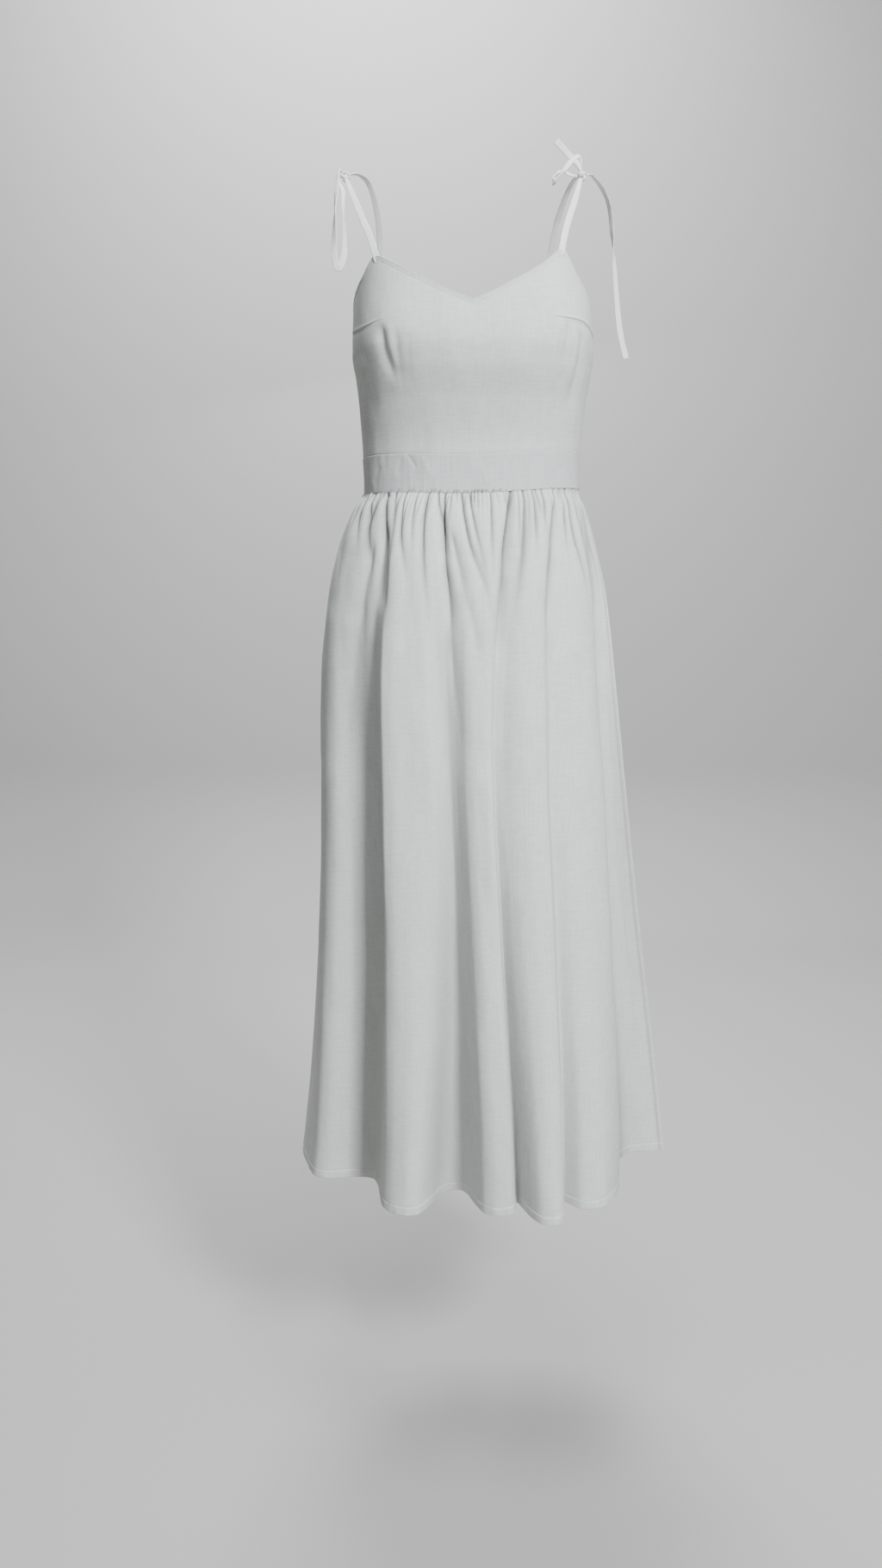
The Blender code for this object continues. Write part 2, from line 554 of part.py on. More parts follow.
def build_straps():
    """Four straps: a front and a back one to each knot."""
    plain = (TIE_WIDTH, TIE_WIDTH, TIE_WIDTH, TIE_PINCH)
    edge = FRONT_TOP_EDGE[3]
    middle_x = (FRONT_TOP_EDGE[3].x + FRONT_TOP_EDGE[4].x) / 2
    start = strap_start(middle_x, edge.height, turn_at(middle_x, edge.height))
    way = (0.25, -0.68, -0.68)
    tie("strap_front_left",
        [start, (-0.1105, -0.0790, -0.0850), (-0.1200, -0.0590, -0.0600), (-0.1305, -0.0370, -0.0310),
         knot_side("left", way, 0.004), knot_side("left", way)],
        [(-0.3, -1, 0.1), (-0.2, -0.8, 0.6)], plain, 14, sewn=True)
    edge = FRONT_TOP_EDGE[11]
    middle_x = (FRONT_TOP_EDGE[11].x + FRONT_TOP_EDGE[12].x) / 2
    start = strap_start(middle_x, edge.height, turn_at(middle_x, edge.height))
    way = (-0.25, -0.70, -0.66)
    tie("strap_front_right",
        [start, (0.0962, -0.0780, -0.0820), (0.1025, -0.0590, -0.0600), (0.1115, -0.0370, -0.0320),
         knot_side("right", way, 0.004), knot_side("right", way)],
        [(0.3, -1, 0.1), (0.2, -0.8, 0.6)], plain, 14, sewn=True)
    for side, way, over in (
            ("left", (0.58, 0.66, 0.48),
             [(-0.1285, 0.0010, 0.0040), (-0.1180, 0.0220, 0.0030), (-0.1090, 0.0500, -0.0200)]),
            ("right", (-0.35, 0.85, 0.30),
             [(0.1130, 0.0180, 0.0010), (0.1060, 0.0400, -0.0120), (0.0980, 0.0620, -0.0380)])):
        x = BACK_STRAP_X[side]
        turn = 2 * math.pi - turn_at(x, -0.160)
        height = float(back_top(np.array(turn)))
        start = strap_start(x, height, turn)
        lower = (x * 1.06, start.y - 0.006, -0.1150)
        tie("strap_back_" + side,
            [start, lower, (over[-1][0] * 0.96, 0.0840, -0.0680)] + over[::-1]
            + [knot_side(side, way, 0.003), knot_side(side, way)],
            [(0, 1, 0.05), (0, 0.9, 0.4), (0, 0.2, 1)], plain, 18, sewn=True)


def build_tie_ends():
    """The hanging loop on the left knot, and the small bow loop and two ends on the right one."""
    out, back = (-0.62, -0.45, 0.64), (-0.72, -0.38, -0.58)
    tie("loop_left",
        [knot_side("left", out), knot_side("left", out, 0.003), (-0.1488, -0.0300, -0.0200),
         (-0.1497, -0.0430, -0.0484), (-0.1503, -0.0480, -0.0729), (-0.1506, -0.0490, -0.0967),
         (-0.1458, -0.0495, -0.1100), (-0.1402, -0.0480, -0.0953), (-0.1394, -0.0460, -0.0778),
         (-0.1402, -0.0420, -0.0568), (-0.1414, -0.0370, -0.0420), (-0.1422, -0.0290, -0.0230),
         knot_side("left", back, 0.004), knot_side("left", back)],
        [(-0.5, -0.3, 0.9), (-0.6, -1, 0), (-1, -0.2, 0), (-0.7, -0.8, 0), (0, -1, -0.2),
         (0.7, -0.8, 0), (1, -0.2, 0), (0.5, -0.9, 0), (-0.3, -0.7, 0.7)],
        (TIE_PINCH, 0.0060, TIE_WIDTH, TIE_WIDTH, TIE_WIDTH, TIE_WIDTH, 0.0050, TIE_PINCH * 0.8), 34)
    up, level_in = (-0.10, -0.30, 0.95), (-0.98, -0.10, 0.05)
    tie("bow_loop_right",
        [knot_side("right", up), knot_side("right", up, 0.004), (0.1172, -0.0160, 0.0165),
         (0.1090, -0.0240, 0.0105), (0.0985, -0.0350, -0.0045), (0.0900, -0.0420, -0.0165),
         (0.0868, -0.0370, -0.0170), (0.0905, -0.0250, -0.0060), (0.0980, -0.0170, 0.0010),
         (0.1070, -0.0140, -0.0015), knot_side("right", level_in, 0.003), knot_side("right", level_in)],
        [(1, -0.3, 0.1), (0.3, -0.7, 0.7), (-0.5, -1, 0.6), (-1, -0.4, -0.3), (-0.6, 0.9, 0.6),
         (0, -0.6, 0.8), (0, -0.8, 0.6)],
        (TIE_PINCH, 0.0055, TIE_WIDTH, TIE_WIDTH, TIE_WIDTH, 0.0060, TIE_PINCH), 28)
    up = (-0.12, 0.50, 0.86)
    tie("free_end_right",
        [knot_side("right", up), knot_side("right", up, 0.004), (0.1150, -0.0030, 0.0145),
         (0.1060, -0.0020, 0.0240), (0.0985, -0.0025, 0.0315), (0.0925, -0.0030, 0.0375)],
        [(0.3, -1, 0.3), (0, -1, 0.1), (0, -1, 0)], (TIE_PINCH, TIE_WIDTH, TIE_WIDTH, TIE_WIDTH), 12)
    away = (0.80, 0.45, 0.35)
    tie("tail_right",
        [knot_side("right", away), knot_side("right", away, 0.004), (0.1345, 0.0050, 0.0030),
         (0.1490, 0.0300, -0.0020), (0.1592, 0.0450, -0.0167), (0.1641, 0.0520, -0.0447),
         (0.1672, 0.0550, -0.0755), (0.1713, 0.0560, -0.1161), (0.1749, 0.0560, -0.1463),
         (0.1785, 0.0560, -0.1640), (0.1836, 0.0560, -0.1815)],
        [(0, -0.3, 1), (0.4, 0.3, 1), (0.8, 0.6, 0.3), (0.3, -1, 0), (0.2, -1, 0), (0.2, -1, 0)],
        (TIE_PINCH, 0.0060, TIE_WIDTH, 0.0055, TIE_WIDTH, TIE_WIDTH), 34)


for item in list(bpy.data.objects):
    bpy.data.objects.remove(item)
dress = bpy.data.collections.new("midi_dress")
bpy.context.scene.collection.children.link(dress)
build_bodice()
build_waistband()
build_skirt()
build_knots()
build_straps()
build_tie_ends()
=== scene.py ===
import math
from collections import namedtuple

import bpy
import numpy as np
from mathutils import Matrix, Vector


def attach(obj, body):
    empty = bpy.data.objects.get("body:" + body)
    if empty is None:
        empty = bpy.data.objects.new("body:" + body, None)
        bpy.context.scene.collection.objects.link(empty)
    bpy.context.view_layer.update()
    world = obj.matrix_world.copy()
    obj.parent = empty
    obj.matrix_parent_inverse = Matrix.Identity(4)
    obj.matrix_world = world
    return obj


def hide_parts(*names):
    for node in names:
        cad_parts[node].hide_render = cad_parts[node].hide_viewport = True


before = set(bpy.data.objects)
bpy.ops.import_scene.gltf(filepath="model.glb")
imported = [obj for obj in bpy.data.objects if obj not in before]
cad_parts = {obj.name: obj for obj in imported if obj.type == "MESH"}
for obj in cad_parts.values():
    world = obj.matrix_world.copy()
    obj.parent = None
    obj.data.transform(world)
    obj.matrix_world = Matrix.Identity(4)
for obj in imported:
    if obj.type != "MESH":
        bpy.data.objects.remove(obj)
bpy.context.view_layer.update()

# The camera stands where the photograph was taken from: in front of the dress, a little to the
# left of its middle, and looks slightly down.
CAMERA_PLACE = (-0.035, -1.40, -0.482)
CAMERA_DOWN = 8.1            # degrees below the horizon
SENSOR = 36.0
FRAME_HEIGHT = 1820          # pixels
FOCAL_LENGTH = 1375          # in the same pixels

camera_lens = bpy.data.cameras.new("camera")
camera_lens.sensor_width = SENSOR
camera_lens.lens = FOCAL_LENGTH / FRAME_HEIGHT * SENSOR
camera = bpy.data.objects.new("camera", camera_lens)
camera.location = CAMERA_PLACE
camera.rotation_euler = (math.radians(90 - CAMERA_DOWN), 0, 0)
bpy.context.scene.collection.objects.link(camera)
bpy.context.scene.camera = camera


# The free parts of the ties: the loop that hangs from the left knot, and the small bow loop and
# the two ends of the half bow on the right one. Each is a narrow tube of the dress's own cloth,
# turned, pressed flat and 7 mm wide. They hang from the knots by their own weight.
TIE_WIDTH = 0.007
TIE_THICKNESS = 0.0013
TIE_PINCH = 0.0042           # width where a tie goes into a knot
TIE_RING_STEP = 0.0011       # from one ring of a tie's mesh to the next
TIE_SIDES = 16               # points round a tie
CURVE_STEPS = 24             # steps between two points of a tie's route
KNOTS = {"left": Vector((-0.1405, -0.0130, -0.0035)), "right": Vector((0.1205, -0.0130, -0.0030))}
KNOT_RADIUS = 0.0055
KNOT_GAP = 0.0005
TIE_CORNERS = (0.55, 0.75)   # powers that square a tie's round section, across and out
TIE_EDGE_ROLL = 0.35         # how much thicker its folded edges are
CLOTH_LIGHT = (0.782, 0.793, 0.794, 1.0)
CLOTH_DARK = (0.645, 0.651, 0.637, 1.0)
# the colour that painted shade in grooves and fold valleys mixes towards
PAINTED_FOLD_SHADE = (0.310, 0.312, 0.296, 1.0)
THREAD_SPACING = 0.00048
WEAVE_IN_TONE = 0.65         # how much of the cloth's tone comes from its slubs, not from pressing


def knot_side(side, direction, further=0.0):
    """The point just off a knot's surface that a tie going this way starts from."""
    return tuple(KNOTS[side] + Vector(direction).normalized() * (KNOT_RADIUS + KNOT_GAP + further))


def smooth_route(points):
    """Evenly spaced points on a smooth curve through a tie's route."""
    points = np.array(points, float)
    run = np.r_[0, np.cumsum(np.linalg.norm(np.diff(points, axis=0), axis=1) ** 0.5)]
    ends = np.concatenate([[2 * points[0] - points[1]], points, [2 * points[-1] - points[-2]]])
    knots = np.r_[run[0] - (run[1] - run[0]), run, run[-1] + (run[-1] - run[-2])]
    dense = []
    for i in range(len(points) - 1):
        p0, p1, p2, p3 = ends[i:i + 4]
        t0, t1, t2, t3 = knots[i:i + 4]
        for t in np.linspace(t1, t2, CURVE_STEPS, endpoint=i == len(points) - 2):
            a1 = (t1 - t) / (t1 - t0) * p0 + (t - t0) / (t1 - t0) * p1
            a2 = (t2 - t) / (t2 - t1) * p1 + (t - t1) / (t2 - t1) * p2
            a3 = (t3 - t) / (t3 - t2) * p2 + (t - t2) / (t3 - t2) * p3
            b1 = (t2 - t) / (t2 - t0) * a1 + (t - t0) / (t2 - t0) * a2
            b2 = (t3 - t) / (t3 - t1) * a2 + (t - t1) / (t3 - t1) * a3
            dense.append((t2 - t) / (t2 - t1) * b1 + (t - t1) / (t2 - t1) * b2)
    dense = np.array(dense)
    length = np.r_[0, np.cumsum(np.linalg.norm(np.diff(dense, axis=0), axis=1))]
    places = np.linspace(0, length[-1], int(length[-1] / TIE_RING_STEP) + 2)
    return np.stack([np.interp(places, length, dense[:, axis]) for axis in range(3)], axis=1)


def soft_noise(across, down, cell_across, cell_down, seed):
    """Smooth random swell from -1 to 1 over a cloth, from a seeded lattice with cells of that size.

    The lattice reaches just over the places given, so other places are given other values."""
    across = np.asarray(across, float) / cell_across
    down = np.asarray(down, float) / cell_down
    first_across = np.floor(across).astype(int)
    first_down = np.floor(down).astype(int)
    low_across, low_down = first_across.min(), first_down.min()
    size = (first_down.max() - low_down + 2, first_across.max() - low_across + 2)
    lattice = np.random.default_rng(seed).uniform(-1, 1, size)
    a, d = first_across - low_across, first_down - low_down
    part_across, part_down = across - first_across, down - first_down
    part_across = part_across ** 2 * (3 - 2 * part_across)
    part_down = part_down ** 2 * (3 - 2 * part_down)
    upper = lattice[d, a] * (1 - part_across) + lattice[d, a + 1] * part_across
    lower = lattice[d + 1, a] * (1 - part_across) + lattice[d + 1, a + 1] * part_across
    return upper * (1 - part_down) + lower * part_down


def mesh_piece(name, points, faces, places, material, painted_shade=None):
    """A smooth shaded piece from arrays, with a map of where each point lies on the flat cut.

    The last argument says, from 0 to 1, how much shade is painted into each point's colour, most between two
    close folds of the cloth."""
    mesh = bpy.data.meshes.new(name)
    mesh.from_pydata(np.asarray(points).tolist(), [], faces)
    cut = mesh.uv_layers.new(name="cut")
    corner_points = np.zeros(len(mesh.loops), int)
    mesh.loops.foreach_get("vertex_index", corner_points)
    cut.uv.foreach_set("vector", np.asarray(places, np.float32)[corner_points].ravel())
    if painted_shade is not None:
        painted_shade_values = mesh.attributes.new("painted_shade", "FLOAT", "POINT")
        painted_shade_values.data.foreach_set("value", np.asarray(painted_shade, np.float32))
    mesh.shade_smooth()
    mesh.set_sharp_from_angle(angle=math.radians(60))
    mesh.materials.append(material)
    piece = bpy.data.objects.new(name, mesh)
    bpy.context.scene.collection.objects.link(piece)
    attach(piece, "root")
    return piece


def tube_faces(first, rings, sides):
    """Faces of a closed tube whose rings of points begin at that one."""
    faces = []
    last = first + (rings - 1) * sides
    for ring in range(first, last, sides):
        for k in range(sides):
            after = (k + 1) % sides
            faces.append((ring + k, ring + after, ring + sides + after, ring + sides + k))
    return faces + [tuple(range(first, first + sides))[::-1], tuple(range(last, last + sides))]


def ribbon_mesh(points, faces_way, widths, thickness=TIE_THICKNESS, seed=1, bend=0.0002):
    """Points, faces and cut places of a flat tube along points, its flat side looking along faces_way."""
    count = len(points)
    along = np.gradient(points, axis=0)
    along /= np.linalg.norm(along, axis=1, keepdims=True)
    places = np.linspace(0, 1, count)
    stops = np.linspace(0, 1, len(faces_way))
    face = np.stack([np.interp(places, stops, [f[axis] for f in faces_way]) for axis in range(3)], axis=1)
    face -= along * np.sum(face * along, axis=1, keepdims=True)
    face /= np.linalg.norm(face, axis=1, keepdims=True)
    side = np.cross(along, face)
    width = np.interp(places, np.linspace(0, 1, len(widths)), widths)
    run = np.r_[0, np.cumsum(np.linalg.norm(np.diff(points, axis=0), axis=1))]
    width = width * (1 + 0.05 * soft_noise(run, run * 0, 0.009, 1, seed))
    turn = np.linspace(0, 2 * math.pi, TIE_SIDES, endpoint=False)
    round_across = np.sign(np.cos(turn)) * np.abs(np.cos(turn)) ** TIE_CORNERS[0]
    round_out = np.sign(np.sin(turn)) * np.abs(np.sin(turn)) ** TIE_CORNERS[1]
    rolled = 1 + TIE_EDGE_ROLL * np.abs(round_across) ** 4
    swell = bend * soft_noise(run[:, None] + 0 * turn, width[:, None] * round_across, 0.006, 0.003, seed + 1)
    across = width[:, None] / 2 * round_across
    out = thickness / 2 * round_out * rolled + swell
    skin = points[:, None] + side[:, None] * across[..., None] + face[:, None] * out[..., None]
    faces = tube_faces(0, count, TIE_SIDES)
    cut = np.stack([across + 0 * run[:, None], run[:, None] + 0 * across], axis=-1).reshape(-1, 2)
    return skin.reshape(-1, 3), faces, cut


def link(tree, start, end):
    tree.links.new(start, end)


def sum_node(tree, kind, first, second):
    """A Math node of that kind, whose inputs are sockets or numbers. It gives its output socket."""
    node = tree.nodes.new("ShaderNodeMath")
    node.operation = kind
    for socket, value in zip(node.inputs, (first, second)):
        if isinstance(value, (int, float)):
            socket.default_value = value
        elif value is not None:
            link(tree, value, socket)
    return node.outputs[0]


def plain_weave_group():
    """A plain weave of slubbed threads: the height of its threads, and how its tone varies."""
    group = bpy.data.node_groups.new("plain weave", "ShaderNodeTree")
    group.interface.new_socket("Place on the cut", in_out="INPUT", socket_type="NodeSocketVector")
    spacing = group.interface.new_socket("Thread spacing", in_out="INPUT", socket_type="NodeSocketFloat")
    spacing.default_value = THREAD_SPACING
    slub = group.interface.new_socket("Slub", in_out="INPUT", socket_type="NodeSocketFloat")
    slub.default_value = 1.0
    group.interface.new_socket("Height", in_out="OUTPUT", socket_type="NodeSocketFloat")
    group.interface.new_socket("Tone", in_out="OUTPUT", socket_type="NodeSocketFloat")
    inside = group.nodes.new("NodeGroupInput")
    outside = group.nodes.new("NodeGroupOutput")
    split = group.nodes.new("ShaderNodeSeparateXYZ")
    link(group, inside.outputs["Place on the cut"], split.inputs[0])
    waves = []
    for axis in (0, 1):
        place = sum_node(group, "DIVIDE", split.outputs[axis], inside.outputs["Thread spacing"])
        waves.append(sum_node(group, "SINE", sum_node(group, "MULTIPLY", place, math.pi), None))
    over = sum_node(group, "GREATER_THAN", sum_node(group, "MULTIPLY", waves[0], waves[1]), 0.0)
    under = sum_node(group, "SUBTRACT", 1.0, over)
    lengthwise = sum_node(group, "MULTIPLY", sum_node(group, "ABSOLUTE", waves[0], None), over)
    crosswise = sum_node(group, "MULTIPLY", sum_node(group, "ABSOLUTE", waves[1], None), under)
    threads = sum_node(group, "ADD", lengthwise, crosswise)
    slubs = []
    for stretch in ((55.0, 420.0, 1.0), (420.0, 32.0, 1.0)):
        scaled = group.nodes.new("ShaderNodeVectorMath")
        scaled.operation = "MULTIPLY"
        scaled.inputs[1].default_value = stretch
        link(group, inside.outputs["Place on the cut"], scaled.inputs[0])
        noise = group.nodes.new("ShaderNodeTexNoise")
        noise.noise_dimensions = "2D"
        noise.inputs["Scale"].default_value = 1.0
        noise.inputs["Detail"].default_value = 3.0
        noise.inputs["Roughness"].default_value = 0.65
        link(group, scaled.outputs[0], noise.inputs["Vector"])
        slubs.append(noise.outputs[0])
    both = sum_node(group, "MULTIPLY", sum_node(group, "ADD", slubs[0], slubs[1]), 0.5)
    swell = sum_node(group, "MULTIPLY", both, inside.outputs["Slub"])
    height = sum_node(group, "ADD", sum_node(group, "MULTIPLY", threads, 0.5),
                      sum_node(group, "MULTIPLY", swell, 2.0))
    link(group, height, outside.inputs["Height"])
    sharper = group.nodes.new("ShaderNodeMapRange")
    sharper.inputs["From Min"].default_value = 0.38
    sharper.inputs["From Max"].default_value = 0.62
    link(group, both, sharper.inputs["Value"])
    link(group, sharper.outputs[0], outside.inputs["Tone"])
    return group


def cloud_group():
    """Broad faint patches over a cloth, where it has been handled and pressed."""
    group = bpy.data.node_groups.new("pressed patches", "ShaderNodeTree")
    group.interface.new_socket("Place on the cut", in_out="INPUT", socket_type="NodeSocketVector")
    size = group.interface.new_socket("Patches to a metre", in_out="INPUT", socket_type="NodeSocketFloat")
    size.default_value = 22.0
    group.interface.new_socket("Mask", in_out="OUTPUT", socket_type="NodeSocketFloat")
    inside = group.nodes.new("NodeGroupInput")
    outside = group.nodes.new("NodeGroupOutput")
    noise = group.nodes.new("ShaderNodeTexNoise")
    noise.noise_dimensions = "2D"
    noise.inputs["Detail"].default_value = 3.0
    link(group, inside.outputs["Place on the cut"], noise.inputs["Vector"])
    link(group, inside.outputs["Patches to a metre"], noise.inputs["Scale"])
    link(group, noise.outputs[0], outside.inputs["Mask"])
    return group


plain_weave = plain_weave_group()
pressed_patches = cloud_group()


def woven_cloth(name, light, dark, weave_depth, sheen, roughness=0.80):
    """A matt cotton and linen cloth with a soft sheen: threads, slubs, faint pressed patches and painted
    shade.
    """
    material = bpy.data.materials.new(name)
    material.use_nodes = True
    tree = material.node_tree
    shader = tree.nodes["Principled BSDF"]
    shader.inputs["Metallic"].default_value = 0.0
    shader.inputs["Specular IOR Level"].default_value = 0.12
    shader.inputs["Sheen Weight"].default_value = sheen
    shader.inputs["Sheen Roughness"].default_value = 0.45
    cut = tree.nodes.new("ShaderNodeUVMap")
    cut.uv_map = "cut"
    weave = tree.nodes.new("ShaderNodeGroup")
    weave.node_tree = plain_weave
    weave.inputs["Thread spacing"].default_value = THREAD_SPACING
    weave.inputs["Slub"].default_value = 1.0
    link(tree, cut.outputs[0], weave.inputs["Place on the cut"])
    patches = tree.nodes.new("ShaderNodeGroup")
    patches.node_tree = pressed_patches
    patches.inputs["Patches to a metre"].default_value = 22.0
    link(tree, cut.outputs[0], patches.inputs["Place on the cut"])
    tone = sum_node(tree, "ADD", sum_node(tree, "MULTIPLY", weave.outputs["Tone"], WEAVE_IN_TONE),
                    sum_node(tree, "MULTIPLY", patches.outputs["Mask"], 1 - WEAVE_IN_TONE))
    colour = tree.nodes.new("ShaderNodeMix")
    colour.data_type = "RGBA"
    colour.inputs[6].default_value = dark
    colour.inputs[7].default_value = light
    link(tree, tone, colour.inputs[0])
    # Shade painted into the colour: a value on the mesh, from 0 to 1, mixes it towards the painted fold shade
    # colour.
    deep = tree.nodes.new("ShaderNodeAttribute")
    deep.attribute_name = "painted_shade"
    shaded = tree.nodes.new("ShaderNodeMix")
    shaded.data_type = "RGBA"
    shaded.inputs[7].default_value = PAINTED_FOLD_SHADE
    link(tree, deep.outputs["Fac"], shaded.inputs[0])
    link(tree, colour.outputs[2], shaded.inputs[6])
    link(tree, shaded.outputs[2], shader.inputs["Base Color"])
    dull = tree.nodes.new("ShaderNodeMapRange")
    dull.inputs["To Min"].default_value = roughness - 0.06
    dull.inputs["To Max"].default_value = roughness + 0.08
    link(tree, patches.outputs["Mask"], dull.inputs["Value"])
    link(tree, dull.outputs[0], shader.inputs["Roughness"])
    bump = tree.nodes.new("ShaderNodeBump")
    bump.inputs["Strength"].default_value = 0.6
    bump.inputs["Distance"].default_value = weave_depth
    link(tree, weave.outputs["Height"], bump.inputs["Height"])
    link(tree, bump.outputs[0], shader.inputs["Normal"])
    return material


tie_cloth = woven_cloth("tie_cloth", (0.86, 0.865, 0.85, 1.0), (0.79, 0.795, 0.775, 1.0), 0.00003, 0.15)

TieEnd = namedtuple("TieEnd", "name side way route faces widths length far_end lay")
OUT_LEFT, BACK_LEFT = (-0.62, -0.45, 0.64), (-0.72, -0.38, -0.58)
UP_RIGHT, IN_RIGHT = (-0.10, -0.30, 0.95), (-0.98, -0.10, 0.05)
END_RIGHT, AWAY_RIGHT = (-0.12, 0.50, 0.86), (0.80, 0.45, 0.35)
TIE_ENDS = [
    TieEnd("loop_left", "left", OUT_LEFT,
           [knot_side("left", OUT_LEFT), knot_side("left", OUT_LEFT, 0.003), (-0.1488, -0.0300, -0.0200),
            (-0.1497, -0.0430, -0.0484), (-0.1503, -0.0480, -0.0729), (-0.1506, -0.0490, -0.0967),
            (-0.1458, -0.0495, -0.1100), (-0.1402, -0.0480, -0.0953), (-0.1394, -0.0460, -0.0778),
            (-0.1402, -0.0420, -0.0568), (-0.1414, -0.0370, -0.0420), (-0.1422, -0.0290, -0.0230),
            knot_side("left", BACK_LEFT, 0.004), knot_side("left", BACK_LEFT)],
           [(-0.5, -0.3, 0.9), (-0.6, -1, 0), (-1, -0.2, 0), (-0.7, -0.8, 0), (0, -1, -0.2),
            (0.7, -0.8, 0), (1, -0.2, 0), (0.5, -0.9, 0), (-0.3, -0.7, 0.7)],
           (TIE_PINCH, 0.0060, TIE_WIDTH, TIE_WIDTH, TIE_WIDTH, TIE_WIDTH, 0.0050, TIE_PINCH * 0.8),
           0.239, "object", "hanging"),
    TieEnd("bow_loop_right", "right", UP_RIGHT,
           [knot_side("right", UP_RIGHT), knot_side("right", UP_RIGHT, 0.004), (0.1172, -0.0160, 0.0165),
            (0.1090, -0.0240, 0.0105), (0.0985, -0.0350, -0.0045), (0.0900, -0.0420, -0.0165),
            (0.0868, -0.0370, -0.0170), (0.0905, -0.0250, -0.0060), (0.0980, -0.0170, 0.0010),
            (0.1070, -0.0140, -0.0015), knot_side("right", IN_RIGHT, 0.003), knot_side("right", IN_RIGHT)],
           [(1, -0.3, 0.1), (0.3, -0.7, 0.7), (-0.5, -1, 0.6), (-1, -0.4, -0.3), (-0.6, 0.9, 0.6),
            (0, -0.6, 0.8), (0, -0.8, 0.6)],
           (TIE_PINCH, 0.0055, TIE_WIDTH, TIE_WIDTH, TIE_WIDTH, 0.0060, TIE_PINCH),
           0.120, "object", "loose"),
    TieEnd("free_end_right", "right", END_RIGHT,
           [knot_side("right", END_RIGHT), knot_side("right", END_RIGHT, 0.004), (0.1150, -0.0030, 0.0145),
            (0.1060, -0.0020, 0.0240), (0.0985, -0.0025, 0.0315), (0.0925, -0.0030, 0.0375)],
           [(0.3, -1, 0.3), (0, -1, 0.1), (0, -1, 0)], (TIE_PINCH, TIE_WIDTH, TIE_WIDTH, TIE_WIDTH),
           0.0475, "bare", "loose"),
    TieEnd("tail_right", "right", AWAY_RIGHT,
           [knot_side("right", AWAY_RIGHT), knot_side("right", AWAY_RIGHT, 0.004), (0.1345, 0.0050, 0.0030),
            (0.1490, 0.0300, -0.0020), (0.1592, 0.0450, -0.0167), (0.1641, 0.0520, -0.0447),
            (0.1672, 0.0550, -0.0755), (0.1713, 0.0560, -0.1161), (0.1749, 0.0560, -0.1463),
            (0.1785, 0.0560, -0.1640), (0.1836, 0.0560, -0.1815)],
           [(0, -0.3, 1), (0.4, 0.3, 1), (0.8, 0.6, 0.3), (0.3, -1, 0), (0.2, -1, 0), (0.2, -1, 0)],
           (TIE_PINCH, 0.0060, TIE_WIDTH, 0.0055, TIE_WIDTH, TIE_WIDTH),
           0.240, "bare", "hanging"),
]
for number, end in enumerate(TIE_ENDS):
    line = smooth_route(end.route)
    skin, skin_faces, cut_places = ribbon_mesh(line, end.faces, end.widths, seed=20 + number)
    piece = mesh_piece("tie_" + end.name, skin, skin_faces, cut_places, tie_cloth)
    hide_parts(end.name)


# The straps: the same pressed tubes, sewn behind the bodice's top edge at the front corners and
# along the back, and drawn up over each shoulder into its knot.
Strap = namedtuple("Strap", "name route faces under")
STRAP_WIDTHS = (TIE_WIDTH, TIE_WIDTH, TIE_WIDTH, TIE_PINCH)
STRAPS = [
    Strap("strap_front_left",
          [(-0.1032, -0.08945, -0.1082), (-0.1105, -0.0790, -0.0850), (-0.1200, -0.0590, -0.0600),
           (-0.1305, -0.0370, -0.0310), knot_side("left", (0.25, -0.68, -0.68), 0.004),
           knot_side("left", (0.25, -0.68, -0.68))],
          [(-0.3, -1, 0.1), (-0.2, -0.8, 0.6)], (-0.1018, -0.0903, -0.1135)),
    Strap("strap_front_right",
          [(0.0916, -0.09437, -0.1032), (0.0962, -0.0780, -0.0820), (0.1025, -0.0590, -0.0600),
           (0.1115, -0.0370, -0.0320), knot_side("right", (-0.25, -0.70, -0.66), 0.004),
           knot_side("right", (-0.25, -0.70, -0.66))],
          [(0.3, -1, 0.1), (0.2, -0.8, 0.6)], (0.0908, -0.0954, -0.1085)),
    Strap("strap_back_left",
          [(-0.0860, 0.09713, -0.15792), (-0.09116, 0.09113, -0.1150), (-0.10464, 0.0840, -0.0680),
           (-0.1090, 0.0500, -0.0200), (-0.1180, 0.0220, 0.0030), (-0.1285, 0.0010, 0.0040),
           knot_side("left", (0.58, 0.66, 0.48), 0.003), knot_side("left", (0.58, 0.66, 0.48))],
          [(0, 1, 0.05), (0, 0.9, 0.4), (0, 0.2, 1)], (-0.0855, 0.0966, -0.1640)),
    Strap("strap_back_right",
          [(0.0800, 0.09897, -0.16037), (0.0848, 0.09297, -0.1150), (0.09408, 0.0840, -0.0680),
           (0.0980, 0.0620, -0.0380), (0.1060, 0.0400, -0.0120), (0.1130, 0.0180, 0.0010),
           knot_side("right", (-0.35, 0.85, 0.30), 0.003), knot_side("right", (-0.35, 0.85, 0.30))],
          [(0, 1, 0.05), (0, 0.9, 0.4), (0, 0.2, 1)], (0.0795, 0.0984, -0.1665)),
]
for number, strap in enumerate(STRAPS):
    line = smooth_route([strap.under] + strap.route)
    skin, skin_faces, cut_places = ribbon_mesh(line, strap.faces, STRAP_WIDTHS, seed=40 + number)
    piece = mesh_piece("tie_" + strap.name, skin, skin_faces, cut_places, tie_cloth)
    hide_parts(strap.name)
